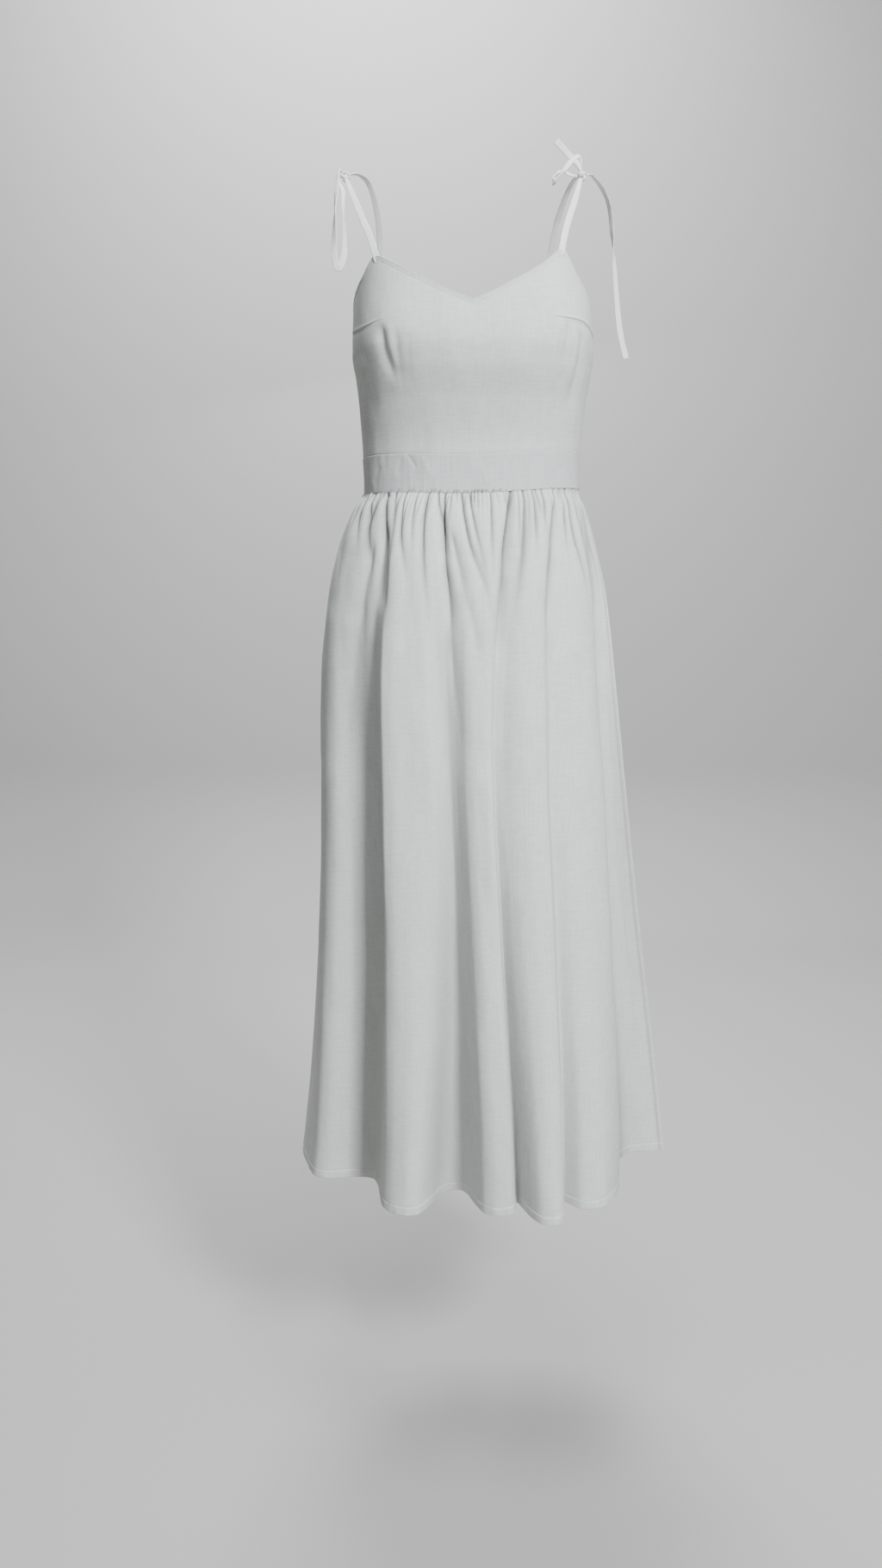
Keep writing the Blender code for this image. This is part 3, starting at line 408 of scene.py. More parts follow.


# The two shoulder knots: the ties wrapped round each other and drawn tight. Each is one crumpled
# length of tie that crosses itself three times.
KNOT_TURNS = 150
KNOT_SCALE = 0.00155         # half the size of the knot's inner loops
KNOT_HEIGHT = 1.7            # how much higher the knot is than a flat one
KNOT_STRAND = 0.0036
for number, (side, centre) in enumerate(KNOTS.items()):
    turn = np.linspace(0, 2 * math.pi, KNOT_TURNS + 1)
    loops = np.stack([np.sin(turn) + 2 * np.sin(2 * turn), np.cos(turn) - 2 * np.cos(2 * turn),
                      -np.sin(3 * turn) * KNOT_HEIGHT], axis=1) * KNOT_SCALE
    tilt = math.radians(24 if side == "left" else -32)
    lean = np.array([[math.cos(tilt), 0, -math.sin(tilt)], [0, 1, 0], [math.sin(tilt), 0, math.cos(tilt)]])
    upright = np.array([[1, 0, 0], [0, 0.34, -0.94], [0, 0.94, 0.34]])
    loops = loops @ lean.T @ upright.T
    outward = loops / np.linalg.norm(loops, axis=1, keepdims=True)
    strand = loops + np.array(centre)
    skin, skin_faces, cut_places = ribbon_mesh(strand, outward.tolist(), (KNOT_STRAND, KNOT_STRAND),
                                               thickness=0.0019, seed=60 + number, bend=0.0003)
    piece = mesh_piece("tie_knot_" + side, skin, skin_faces, cut_places, tie_cloth)
    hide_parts("knot_" + side)


# The bodice front: one piece of cloth with a V neck. A dart from each side seam shapes the cup,
# soft creases fall below the darts' points, and the top edge is turned in and stitched down.
Section = namedtuple("Section", "height left right front back power")
TORSO_SECTIONS = [
    Section(-0.3600, -0.1225, 0.1225, 0.0900, 0.0880, 2.3),
    Section(-0.3433, -0.1225, 0.1225, 0.0900, 0.0880, 2.3),
    Section(-0.3024, -0.1238, 0.1230, 0.0905, 0.0890, 2.3),
    Section(-0.2540, -0.1270, 0.1275, 0.1030, 0.0950, 2.4),
    Section(-0.2175, -0.1310, 0.1330, 0.1190, 0.1010, 2.5),
    Section(-0.1960, -0.1345, 0.1355, 0.1225, 0.1040, 2.6),
    Section(-0.1565, -0.1330, 0.1325, 0.1190, 0.1070, 2.8),
    Section(-0.1000, -0.1290, 0.1240, 0.1120, 0.1080, 3.0),
]
Form = namedtuple("Form", "turn height end_turn end_height spread out")
FORM_RADIUS = 0.130          # turns are counted across the cloth at this distance from the axis
BODICE_FORMS = [
    Form(47, -0.188, 47, -0.194, 0.040, 0.0045),         # left cup
    Form(133, -0.188, 133, -0.194, 0.040, 0.0045),       # right cup
    Form(46.5, -0.180, 48, -0.235, 0.0060, -0.0034),     # creases below the left dart's point
    Form(51.0, -0.180, 50.5, -0.222, 0.0045, 0.0010),
    Form(54, -0.188, 52, -0.238, 0.0050, -0.0017),
    Form(59.5, -0.190, 56, -0.240, 0.0050, -0.0009),
    Form(30, -0.205, 27, -0.262, 0.0130, -0.0012),
    Form(133.4, -0.178, 134.0, -0.220, 0.0048, -0.0024),   # creases below the right one
    Form(134.0, -0.220, 139.0, -0.276, 0.0052, -0.0022),
    Form(137.0, -0.182, 140.5, -0.250, 0.0050, 0.0012),
    Form(141.5, -0.184, 147, -0.262, 0.0055, -0.0026),
    Form(150, -0.215, 155, -0.280, 0.0070, 0.0009),
    Form(112, -0.205, 103, -0.262, 0.0170, 0.0009),      # faint slanting swell at the middle
]
Dart = namedtuple("Dart", "turn height middle_turn middle_height end_turn end_height groove lip")
DARTS = [
    Dart(14, -0.1742, 34.5, -0.1786, 48.6, -0.1753, 0.0007, 0.0004),
    Dart(163, -0.1815, 141.0, -0.1738, 124.9, -0.1745, 0.0011, 0.0008),
]
LIP_ABOVE = 0.0016           # a dart's lip lies this far above its groove
LIP_WIDTH = 0.0013
GROOVE_WIDTH = 0.0007
DIP_BELOW = 0.003            # and the cloth dips this far below it
Edge = namedtuple("Edge", "x height")
FRONT_TOP_EDGE = [
    Edge(-0.1330, -0.1520),     # left underarm, at the side seam
    Edge(-0.1285, -0.1375),
    Edge(-0.1180, -0.1235),
    Edge(-0.1068, -0.1085),     # left strap, outer corner
    Edge(-0.0996, -0.1085),     # left strap, inner corner
    Edge(-0.0670, -0.1285),
    Edge(-0.0320, -0.1470),
    Edge(-0.0020, -0.1585),     # point of the V
    Edge(0.0190, -0.1500),
    Edge(0.0440, -0.1364),
    Edge(0.0700, -0.1205),
    Edge(0.0880, -0.1035),      # right strap, inner corner
    Edge(0.0952, -0.1035),      # right strap, outer corner
    Edge(0.1080, -0.1250),
    Edge(0.1235, -0.1450),
    Edge(0.1325, -0.1570),      # right underarm
]
BAND_TOP = -0.3024           # height of the seam between bodice and waistband, at the side seams
WAIST_RISE = 0.0245          # the waist rises to the viewer's right
WAIST_DIP = 0.008            # and dips at the centre front
CLOTH_THICKNESS = 0.00055
TURNED_THICKNESS = 0.0008    # where the cloth is folded under along an edge
NECK_TURNING = 0.0045        # how wide the turned edge is
TURNING_STEP = 0.0007        # the cloth goes from double to single within this
EDGE_ROLL = (0.0005, 0.0010) # how far the edge stands out, and how wide that is
SEWN_DIP = (0.00010, 0.0006) # how far the cloth dips along the stitches, and how wide that is
TUCK = 0.0030                # how far an edge runs on behind the piece it is sewn to
TUCK_IN = 0.0011
TUCK_STARTS = 0.0006         # it begins to draw in this far above the seam
TUCK_RUN = 0.0016
BODICE_TURN_STEP = math.radians(0.85)
DART_ZONE = (-0.1645, -0.1850)     # between these heights the rows lie close, for the darts
EDGE_ROWS = np.array([0, 0.2, 0.5, 0.9, 1.6, 2.6, 3.5, 4.0, 4.3, 4.7, 5.2, 5.8]) / 1000
STITCH_LENGTH = 0.0026
STITCH_GAP = 0.0007
STITCH_THREAD = 0.00016      # half the thread's thickness
STITCH_SIDES = 6
SEWING_ROW = 6               # the row of a bodice's points that its edge is stitched along


def smooth(knots, values, places):
    """Monotone cubic curve through a table's rows, read at one place or at many."""
    knots = np.asarray(knots, float)
    values = np.asarray(values, float)
    step = np.diff(knots)
    slope = np.diff(values) / step
    tangent = np.zeros(len(knots))
    tangent[0] = slope[0]
    tangent[-1] = slope[-1]
    for i in range(1, len(knots) - 1):
        if slope[i - 1] * slope[i] > 0:
            before = 2 * step[i] + step[i - 1]
            after = step[i] + 2 * step[i - 1]
            tangent[i] = (before + after) / (before / slope[i - 1] + after / slope[i])
    places = np.clip(places, knots[0], knots[-1])
    i = np.clip(np.searchsorted(knots, places, side="right") - 1, 0, len(step) - 1)
    t = (places - knots[i]) / step[i]
    return (values[i] * (1 + 2 * t) * (1 - t) ** 2 + tangent[i] * step[i] * t * (1 - t) ** 2
            + values[i + 1] * t * t * (3 - 2 * t) + tangent[i + 1] * step[i] * t * t * (t - 1))


def body_point(sections, turn, height, share_out=1.0, proud=0.0):
    """A point of the worn outline at a turn in radians, scaled by a share and moved out."""
    rows = sorted(sections, key=lambda row: row.height)
    heights = [row.height for row in rows]
    left, right, front, back, power = (smooth(heights, [getattr(row, name) for row in rows], height)
                                       for name in ("left", "right", "front", "back", "power"))
    depth = np.where(np.sin(turn) >= 0, front, back)
    half_width = (right - left) / 2
    oval = (np.abs(np.cos(turn)) / half_width) ** power + (np.abs(np.sin(turn)) / depth) ** power
    radius = share_out * oval ** (-1 / power) + proud
    x = (left + right) / 2 - radius * np.cos(turn)
    y = -radius * np.sin(turn)
    return np.stack([x, y, np.broadcast_to(height, x.shape)], axis=-1)


def along_line(turn, height, start_turn, start_height, end_turn, end_height):
    """For points on the cloth: how far along a line each is, from 0 to 1, and how far beside it."""
    start = np.array([math.radians(start_turn) * FORM_RADIUS, start_height])
    line = np.array([math.radians(end_turn) * FORM_RADIUS, end_height]) - start
    across = turn * FORM_RADIUS - start[0]
    down = height - start[1]
    share = (across * line[0] + down * line[1]) / (line @ line)
    beside = (across * line[1] - down * line[0]) / np.linalg.norm(line)
    return share, beside


def relief(forms, turn, height):
    """How far cups and creases move the cloth out at turns in radians and heights."""
    total = np.zeros(np.shape(turn))
    for form in forms:
        share, beside = along_line(turn, height, form.turn, form.height, form.end_turn, form.end_height)
        level = math.radians(form.end_turn - form.turn) * FORM_RADIUS
        length = math.hypot(level, form.end_height - form.height)
        if length < 3 * form.spread:
            beyond = np.maximum(np.maximum(-share, share - 1), 0) * length
            total = total + form.out * np.exp(-(beside ** 2 + beyond ** 2) / form.spread ** 2)
        else:
            fade = np.clip(share / 0.3 + 0.25, 0, 1) * np.clip((1 - share) / 0.4 + 0.3, 0, 1)
            fade = fade * fade * (3 - 2 * fade)
            spread = form.spread * (0.75 + 0.5 * np.clip(share, 0, 1))
            total = total + form.out * fade * np.exp(-(np.abs(beside) / spread) ** 1.6)
    return total


def dart_relief(turn, height):
    """A sewn dart: a fine groove with a soft lip above it, along a bent line."""
    total = np.zeros(np.shape(turn))
    degrees = np.degrees(turn)
    for dart in DARTS:
        stops = sorted([(dart.turn, dart.height), (dart.middle_turn, dart.middle_height),
                        (dart.end_turn, dart.end_height)])
        line = smooth([stop[0] for stop in stops], [stop[1] for stop in stops], degrees)
        above = height - line
        to_point = np.abs(degrees - dart.end_turn) / abs(dart.turn - dart.end_turn)
        sewn = (degrees > stops[0][0]) & (degrees < stops[-1][0])
        on_dart = np.where(sewn, np.clip(to_point / 0.25, 0, 1), 0)
        total = total + on_dart * (dart.lip * np.exp(-((above - LIP_ABOVE) / LIP_WIDTH) ** 2)
                                   - dart.groove * np.exp(-(above / GROOVE_WIDTH) ** 2)
                                   - 0.4 * dart.groove * np.exp(-((above + DIP_BELOW) / DIP_BELOW) ** 2))
    return total


def waist_line(side_height, turn, x):
    """Height of a waist seam: it rises to one side and dips at the centre front."""
    return side_height + WAIST_RISE * x - WAIST_DIP * np.clip(np.sin(turn), 0, 1) ** 2


def rows_between(levels, counts):
    """Heights of a bodice piece's rows: its top edge's, then so many to each level, then the tuck's."""
    rows = [levels[0] + EDGE_ROWS[-1] - drop for drop in EDGE_ROWS]
    for upper, lower, count in zip(levels, levels[1:], counts):
        rows += [upper + (lower - upper) * share for share in np.linspace(0, 1, count + 1)[1:]]
    return np.array(rows + [levels[-1] - TUCK * 0.5, levels[-1] - TUCK])


def seam_heights(turns, side_height):
    """Heights of a waist seam at each turn round the body."""
    return waist_line(side_height, turns, body_point(TORSO_SECTIONS, turns, side_height)[:, 0])


def turn_at(x, height):
    """The turn, in radians, at which the torso's front outline has this X."""
    low, high = 0.0, math.pi
    for _ in range(40):
        half = (low + high) / 2
        if body_point(TORSO_SECTIONS, np.array(half), height)[0] < x:
            low = half
        else:
            high = half
    return (low + high) / 2


def grid_normals(grid):
    """Outward unit normals of a grid of points, rows from top to bottom, columns round the body."""
    normal = np.cross(np.gradient(grid, axis=0), np.gradient(grid, axis=1))
    return normal / np.linalg.norm(normal, axis=-1, keepdims=True)


def cloth_shell(name, middle, thickness, places, material, painted_shade=None):
    """A thin closed shell on both sides of a grid of points, with its own thickness at each point."""
    normals = grid_normals(middle)
    rows, columns = middle.shape[:2]
    half = (thickness / 2)[..., None]
    points = np.concatenate([(middle + side * half * normals).reshape(-1, 3) for side in (1, -1)])
    index = np.arange(rows * columns).reshape(rows, columns)
    inner = index + rows * columns

    def quads(a, b, c, d):
        return np.stack([a, b, c, d], axis=-1).reshape(-1, 4)

    faces = np.concatenate([
        quads(index[:-1, :-1], index[1:, :-1], index[1:, 1:], index[:-1, 1:]),
        quads(inner[:-1, :-1], inner[:-1, 1:], inner[1:, 1:], inner[1:, :-1]),
        quads(index[0, :-1], index[0, 1:], inner[0, 1:], inner[0, :-1]),
        quads(index[-1, :-1], inner[-1, :-1], inner[-1, 1:], index[-1, 1:]),
        quads(index[:-1, 0], inner[:-1, 0], inner[1:, 0], index[1:, 0]),
        quads(index[:-1, -1], index[1:, -1], inner[1:, -1], inner[:-1, -1]),
    ])
    flat = places.reshape(-1, 2)
    if painted_shade is not None:
        painted_shade = np.tile(painted_shade.ravel(), 2)
    return mesh_piece(name, points, faces.tolist(), np.concatenate([flat, flat]), material, painted_shade)


def edge_thickness(from_edge, turning, single=CLOTH_THICKNESS, turned=TURNED_THICKNESS):
    """Thickness of cloth near a turned edge: double up to the stitching, and rounded off at the fold."""
    step = np.clip((turning - from_edge) / TURNING_STEP + 0.5, 0, 1)
    thick = single + (turned - single) * step * step * (3 - 2 * step)
    rounding = np.clip(from_edge / (turned / 2), 0, 1)
    return thick * np.sqrt(np.clip(1 - (1 - rounding) ** 2, 0.03, 1))


def stitches(name, middle, row, cloth_thickness):
    """Small raised stitches along one row of a cloth's points, each bent down into it at its ends."""
    outward = grid_normals(middle)[row]
    line = middle[row] + outward * cloth_thickness / 2
    run = np.r_[0, np.cumsum(np.linalg.norm(np.diff(line, axis=0), axis=1))]
    count = int(run[-1] / (STITCH_LENGTH + STITCH_GAP))
    starts = (np.arange(count) + 0.5) * run[-1] / count - STITCH_LENGTH / 2
    along_stitch = np.array([0.0, 0.16, 0.5, 0.84, 1.0])
    rise = np.array([-0.9, 0.5, 1.0, 0.5, -0.9]) * STITCH_THREAD
    thick = np.array([0.55, 1.0, 1.0, 1.0, 0.55]) * STITCH_THREAD
    places = starts[:, None] + along_stitch * STITCH_LENGTH

    def read(values):
        return np.stack([np.interp(places, run, values[:, axis]) for axis in range(3)], axis=-1)

    centre, up = read(line), read(outward)
    up /= np.linalg.norm(up, axis=-1, keepdims=True)
    way = np.gradient(centre, axis=1)
    way /= np.linalg.norm(way, axis=-1, keepdims=True)
    side = np.cross(way, up)
    centre = centre + up * rise[:, None]
    turn = np.linspace(0, 2 * math.pi, STITCH_SIDES, endpoint=False)
    ring = side[:, :, None] * np.cos(turn)[:, None] + up[:, :, None] * np.sin(turn)[:, None]
    points = (centre[:, :, None] + ring * thick[:, None, None]).reshape(-1, 3)
    rings = len(along_stitch)
    faces = []
    for stitch in range(count):
        faces += tube_faces(stitch * rings * STITCH_SIDES, rings, STITCH_SIDES)
    cut = np.stack([places[:, :, None] + 0 * turn, 0 * places[:, :, None] + turn * STITCH_THREAD], axis=-1)
    piece = mesh_piece(name, points, faces, cut.reshape(-1, 2), thread)
    return piece


Swell = namedtuple("Swell", "depth across down seed")


def swells(rows, across, down, first_seed=0):
    """Fine uneven rises and dips of a cloth, the sum of a table's rows of soft noise."""
    return sum(row.depth * soft_noise(across, down, row.across, row.down, first_seed + row.seed)
               for row in rows)


def tucked_in(heights, bottoms):
    """How far a bodice piece draws in as it runs on behind the band."""
    return TUCK_IN * np.clip((bottoms + TUCK_STARTS - heights) / TUCK_RUN, 0, 1)


def turned_edge(from_top):
    """The roll of a turned top edge, and the faint line where it is stitched down."""
    return (EDGE_ROLL[0] * np.exp(-(from_top / EDGE_ROLL[1]) ** 2)
            - SEWN_DIP[0] * np.exp(-((from_top - NECK_TURNING) / SEWN_DIP[1]) ** 2))


def top_edge_columns():
    """Turns and top heights round the bodice front, with a column at each corner of its top edge."""
    stations = [turn_at(edge.x, edge.height) for edge in FRONT_TOP_EDGE]
    stations[0], stations[-1] = 0.0, math.pi
    turns, tops = [], []
    for i in range(len(stations) - 1):
        steps = max(1, round((stations[i + 1] - stations[i]) / BODICE_TURN_STEP))
        for step in range(steps):
            share = step / steps
            turns.append(stations[i] + (stations[i + 1] - stations[i]) * share)
            tops.append(FRONT_TOP_EDGE[i].height
                        + (FRONT_TOP_EDGE[i + 1].height - FRONT_TOP_EDGE[i].height) * share)
    return np.array(turns + [math.pi]), np.array(tops + [FRONT_TOP_EDGE[-1].height])


def edge_slope(turns, tops):
    """How much nearer to a slanting top edge a point is than its depth below it."""
    points = body_point(TORSO_SECTIONS, turns, tops)
    level = np.hypot(np.gradient(points[:, 0]), np.gradient(points[:, 1]))
    return level / np.hypot(level, np.gradient(tops))


bodice_cloth = woven_cloth("bodice_cloth", CLOTH_LIGHT, CLOTH_DARK, 0.00004, 0.03)
thread = woven_cloth("sewing_thread", (0.88, 0.88, 0.86, 1.0), (0.80, 0.80, 0.78, 1.0), 0.00002, 0.10, 0.62)

FRONT_SWELLS = [
    Swell(0.00045, 0.030, 0.055, 5),
    Swell(0.00020, 0.012, 0.030, 6),
    Swell(0.00008, 0.005, 0.009, 7),
]
SIDE_CALM = 0.12             # near the side seams, within this turn, the cloth lies calm
turns, tops = top_edge_columns()
bottoms = seam_heights(turns, BAND_TOP)
heights = rows_between([tops - EDGE_ROWS[-1], DART_ZONE[0] + 0 * tops, DART_ZONE[1] + 0 * tops, bottoms],
                       (21, 37, 51))
turn_grid = np.broadcast_to(turns, heights.shape)
across = turn_grid * FORM_RADIUS
from_top = (tops - heights) * edge_slope(turns, tops)
calm = np.clip(np.minimum(turn_grid, math.pi - turn_grid) / SIDE_CALM, 0, 1)
proud = (relief(BODICE_FORMS, turn_grid, heights) + dart_relief(turn_grid, heights)
         + swells(FRONT_SWELLS, across, heights) * calm + turned_edge(from_top) - tucked_in(heights, bottoms))
middle = body_point(TORSO_SECTIONS, turn_grid, heights, proud=proud)
piece = cloth_shell("front_of_bodice", middle, edge_thickness(from_top, NECK_TURNING),
                    np.stack([across, heights], axis=-1), bodice_cloth)
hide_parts("bodice_front")
neck_stitches = stitches("neck_stitches_front", middle, SEWING_ROW, TURNED_THICKNESS)


# The bodice back: one low straight piece under the two back straps, turned in along its top.
BACK_TOP_LEFT = -0.1520
BACK_TOP_RIGHT = -0.1570
BACK_TOP_DIP = 0.008
BACK_FORMS = [
    Form(232, -0.185, 236, -0.262, 0.0120, -0.0014),
    Form(262, -0.200, 258, -0.280, 0.0100, -0.0010),
    Form(301, -0.180, 296, -0.255, 0.0120, -0.0015),
    Form(205, -0.255, 238, -0.272, 0.0070, -0.0010),
    Form(335, -0.250, 305, -0.270, 0.0070, -0.0010),
    Form(275, -0.170, 279, -0.215, 0.0090, 0.0009),
]
BACK_SWELLS = [
    Swell(0.00055, 0.030, 0.045, 15),
    Swell(0.00022, 0.012, 0.025, 16),
    Swell(0.00008, 0.005, 0.009, 17),
]
turns = np.linspace(math.pi, 2 * math.pi, math.ceil(math.pi / BODICE_TURN_STEP))
share = (turns - math.pi) / math.pi
tops = BACK_TOP_RIGHT + (BACK_TOP_LEFT - BACK_TOP_RIGHT) * share - BACK_TOP_DIP * np.sin(math.pi * share) ** 2
bottoms = seam_heights(turns, BAND_TOP)
heights = rows_between([tops - EDGE_ROWS[-1], bottoms], (61,))
turn_grid = np.broadcast_to(turns, heights.shape)
across = turn_grid * FORM_RADIUS
from_top = tops - heights
calm = np.clip(np.minimum(turn_grid - math.pi, 2 * math.pi - turn_grid) / SIDE_CALM, 0, 1)
proud = (relief(BACK_FORMS, turn_grid, heights) + swells(BACK_SWELLS, across, heights) * calm
         + turned_edge(from_top) - tucked_in(heights, bottoms))
middle = body_point(TORSO_SECTIONS, turn_grid, heights, proud=proud)
piece = cloth_shell("back_of_bodice", middle, edge_thickness(from_top, NECK_TURNING),
                    np.stack([across, heights], axis=-1), bodice_cloth)
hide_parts("bodice_back")
back_stitches = stitches("neck_stitches_back", middle, SEWING_ROW, TURNED_THICKNESS)


# The waistband: a plain doubled band in two halves, 41 mm high, with an edge stitched seam to
# the bodice above and the gathered seam of the skirt below. It is slightly crinkled all round.
WAIST_SEAM = -0.3433
BAND_THICKNESS = 0.0011
BAND_LIGHT = (0.705, 0.721, 0.728, 1.0)     # the doubled cloth lets no light through and looks cooler
BAND_DARK = (0.585, 0.597, 0.597, 1.0)
BAND_PROUD = 0.0004          # the band lies this far outside the pieces sewn to it
BAND_SEWING_ROW = 4          # the row of its points that its top edge is stitched along
BAND_FORMS = [
    Form(47, -0.306, 53, -0.324, 0.0022, -0.0007),
    Form(44, -0.312, 41, -0.330, 0.0035, -0.0006),
    Form(56, -0.310, 62, -0.334, 0.0040, 0.0005),
    Form(30, -0.318, 24, -0.338, 0.0050, -0.0006),
    Form(96, -0.322, 99, -0.345, 0.0035, 0.0005),
    Form(150, -0.316, 143, -0.330, 0.0040, -0.0005),
    Form(228, -0.308, 232, -0.332, 0.0040, -0.0007),
    Form(259, -0.312, 255, -0.336, 0.0035, -0.0006),
    Form(300, -0.306, 306, -0.330, 0.0045, -0.0007),
]
BAND_CRINKLE = [Swell(0.00013, 0.0022, 0.020, 0)]      # strongest at the two seams
BAND_SWELLS = [Swell(0.00022, 0.0070, 0.022, 1), Swell(0.00035, 0.0350, 0.025, 2)]
SIDE_SEAM_RADIUS = 0.1225    # half the waist's width
waistband_cloth = woven_cloth("waistband_cloth", BAND_LIGHT, BAND_DARK, 0.00004, 0.03)
for name, replaced, first, seed in (("front_of_waistband", "waistband_front", 0.0, 25),
                                    ("back_of_waistband", "waistband_back", math.pi, 35)):
    turns = np.linspace(first, first + math.pi, 300)
    band_top = seam_heights(turns, BAND_TOP)
    band_bottom = seam_heights(turns, WAIST_SEAM)
    depth = band_top - band_bottom
    shares = np.r_[0, 0.006, 0.016, 0.03, np.linspace(0.05, 0.95, 44), 0.97, 0.984, 0.994, 1]
    heights = band_top - depth * shares[:, None]
    turn_grid = np.broadcast_to(turns, heights.shape)
    across = turn_grid * FORM_RADIUS
    from_edge = np.minimum(band_top - heights, heights - band_bottom)
    from_side = np.minimum(turn_grid - first, first + math.pi - turn_grid) * SIDE_SEAM_RADIUS
    calm = np.clip(from_side / 0.010, 0, 1)
    near_seam = np.exp(-((band_top - heights) / 0.012)) + 0.7 * np.exp(-((heights - band_bottom) / 0.012))
    crinkle = ((0.6 + near_seam) * swells(BAND_CRINKLE, across, heights, seed)
               + swells(BAND_SWELLS, across, heights, seed))
    side_roll = 0.0005 * np.exp(-(from_side / 0.0010) ** 2)
    proud = BAND_PROUD + (relief(BAND_FORMS, turn_grid, heights) + crinkle) * calm - side_roll
    middle = body_point(TORSO_SECTIONS, turn_grid, heights, proud=proud)
    rounding = np.clip(from_edge / (BAND_THICKNESS / 2), 0, 1)
    thickness = BAND_THICKNESS * np.sqrt(np.clip(1 - (1 - rounding) ** 2, 0.05, 1))
    piece = cloth_shell(name, middle, thickness, np.stack([across, heights], axis=-1), waistband_cloth)
    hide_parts(replaced)
    band_stitches = stitches(replaced + "_stitches", middle, BAND_SEWING_ROW, BAND_THICKNESS)


# The skirt: two panels that widen a little to the hem, gathered by hand into the waistband, so
# that the gathers differ in depth, lean and length, with deep soft folds down to a narrow hem.
# The seam at the viewer's right is pressed to a sharp ridge.
HEM = -1.142
MIDDLE_HEIGHT = -0.700
CUT_AT_WAIST = 0.60          # the flat panel's width there, and at the hem
CUT_AT_HEM = 0.90
SKIRT_COLUMNS = 480
HEM_TURNING = 0.0090
HEM_THICKNESS = 0.0014
HEM_ROWS = np.array([12, 10.2, 9.5, 9.0, 8.5, 7.4, 5, 2.5, 1.2, 0.6, 0.25, 0.0]) / 1000      # above the hem
HEM_SEWING_ROW = -9          # the row, from the last, that the hem is stitched along
HIDDEN_ROWS = ((0.0034, 0.0022), (0.0016, 0.0013))      # rise and draw in behind the band
SKIRT_SECTIONS = [
    Section(-0.3300, -0.1225, 0.1225, 0.0900, 0.0880, 2.3),
    Section(-0.3433, -0.1225, 0.1225, 0.0900, 0.0880, 2.3),
    Section(-0.3600, -0.1330, 0.1310, 0.0985, 0.0985, 2.3),
    Section(-0.3770, -0.1420, 0.1370, 0.1070, 0.1080, 2.2),
    Section(-0.4080, -0.1530, 0.1450, 0.1170, 0.1200, 2.2),
    Section(-0.4580, -0.1650, 0.1560, 0.1280, 0.1320, 2.2),
    Section(-0.5520, -0.1750, 0.1680, 0.1400, 0.1430, 2.2),
    Section(-0.6710, -0.1775, 0.1815, 0.1510, 0.1520, 2.2),
    Section(-0.7760, -0.1800, 0.1940, 0.1600, 0.1600, 2.2),
    Section(-0.8760, -0.1860, 0.2070, 0.1680, 0.1680, 2.2),
    Section(-1.0330, -0.1990, 0.2290, 0.1810, 0.1800, 2.2),
    Section(-1.1420, -0.2120, 0.2430, 0.1900, 0.1880, 2.2),
]
Fold = namedtuple("Fold", "share waist middle hem middle_reach hem_reach")
EASE = 0.70                  # how soon a fold deepens on its way down
FRONT_FOLDS = [
    Fold(0.000, 0, 0, 0, 0.995, 0.978),             # left side seam
    Fold(0.055, 8.44, 9, 10.6, 0.995, 0.950),
    Fold(0.088, 13.5, 16.5, 19, 0.985, 0.938),      # corner of the left edge
    Fold(0.108, 17.89, 22, 22.5, 0.955, 0.895),
    Fold(0.145, 26, 27, 25.4, 0.870, 0.759),
    Fold(0.185, 35, 34, 31, 0.800, 0.685),          # first valley
    Fold(0.208, 40.5, 39.5, 36.5, 0.800, 0.710),
    Fold(0.238, 47, 46.8, 45.5, 0.880, 0.805),
    Fold(0.262, 51, 51.5, 52.3, 0.962, 0.900),
    Fold(0.280, 54, 55, 56.5, 0.965, 0.928),        # broad crest
    Fold(0.305, 58, 60.5, 61, 0.945, 0.936),
    Fold(0.335, 62, 66, 64.8, 0.920, 0.900),
    Fold(0.362, 65.38, 70.5, 65.8, 0.890, 0.790),   # its overhanging edge
    Fold(0.385, 68.78, 73, 65.8, 0.840, 0.665),
    Fold(0.407, 72.69, 75, 68.5, 0.800, 0.585),
    Fold(0.430, 76.67, 77.5, 75, 0.790, 0.565),     # second valley, wide
    Fold(0.455, 81, 80.5, 81.5, 0.820, 0.640),
    Fold(0.487, 87.2, 84, 86.5, 0.885, 0.765),
    Fold(0.507, 90.63, 86.5, 89.7, 0.930, 0.845),
    Fold(0.530, 94.67, 90, 94.5, 0.955, 0.878),
    Fold(0.555, 99.11, 94.5, 99.3, 0.962, 0.868),   # crest left of the centre
    Fold(0.575, 103.37, 97, 102.2, 0.945, 0.812),
    Fold(0.592, 107.2, 98, 104, 0.895, 0.730),
    Fold(0.607, 110.4, 99, 105, 0.840, 0.728),      # narrow valley
    Fold(0.638, 116.6, 103, 106.3, 0.890, 0.896),
    Fold(0.660, 121, 107.5, 108.3, 0.940, 0.995),
    Fold(0.682, 125.4, 113, 112, 0.965, 1.020),     # fullest crest
    Fold(0.703, 129.84, 119, 115.3, 0.965, 0.985),
    Fold(0.728, 135.29, 122, 119.5, 0.920, 0.850),
    Fold(0.748, 139.5, 124.5, 123.8, 0.890, 0.770), # fourth valley
    Fold(0.768, 142.76, 130, 125.5, 0.920, 0.895),
    Fold(0.795, 147.18, 138, 131.5, 0.945, 0.932),  # last front crest
    Fold(0.825, 151.12, 146.5, 141, 0.950, 0.884),
    Fold(0.850, 155, 152, 148.8, 0.935, 0.834),
    Fold(0.880, 161, 157, 158, 0.850, 0.770),
    Fold(0.910, 166.43, 166, 168, 0.785, 0.740),    # valley behind it
    Fold(0.945, 171.86, 174.8, 177.2, 0.830, 0.808),
    Fold(0.970, 175.4, 176.2, 178.7, 0.905, 0.890), # foot of the pressed ridge
    Fold(0.988, 178, 175.4, 179.4, 0.965, 0.955),
    Fold(1.000, 180, 175, 180, 1.000, 1.000),       # right side seam, pressed to a ridge
]
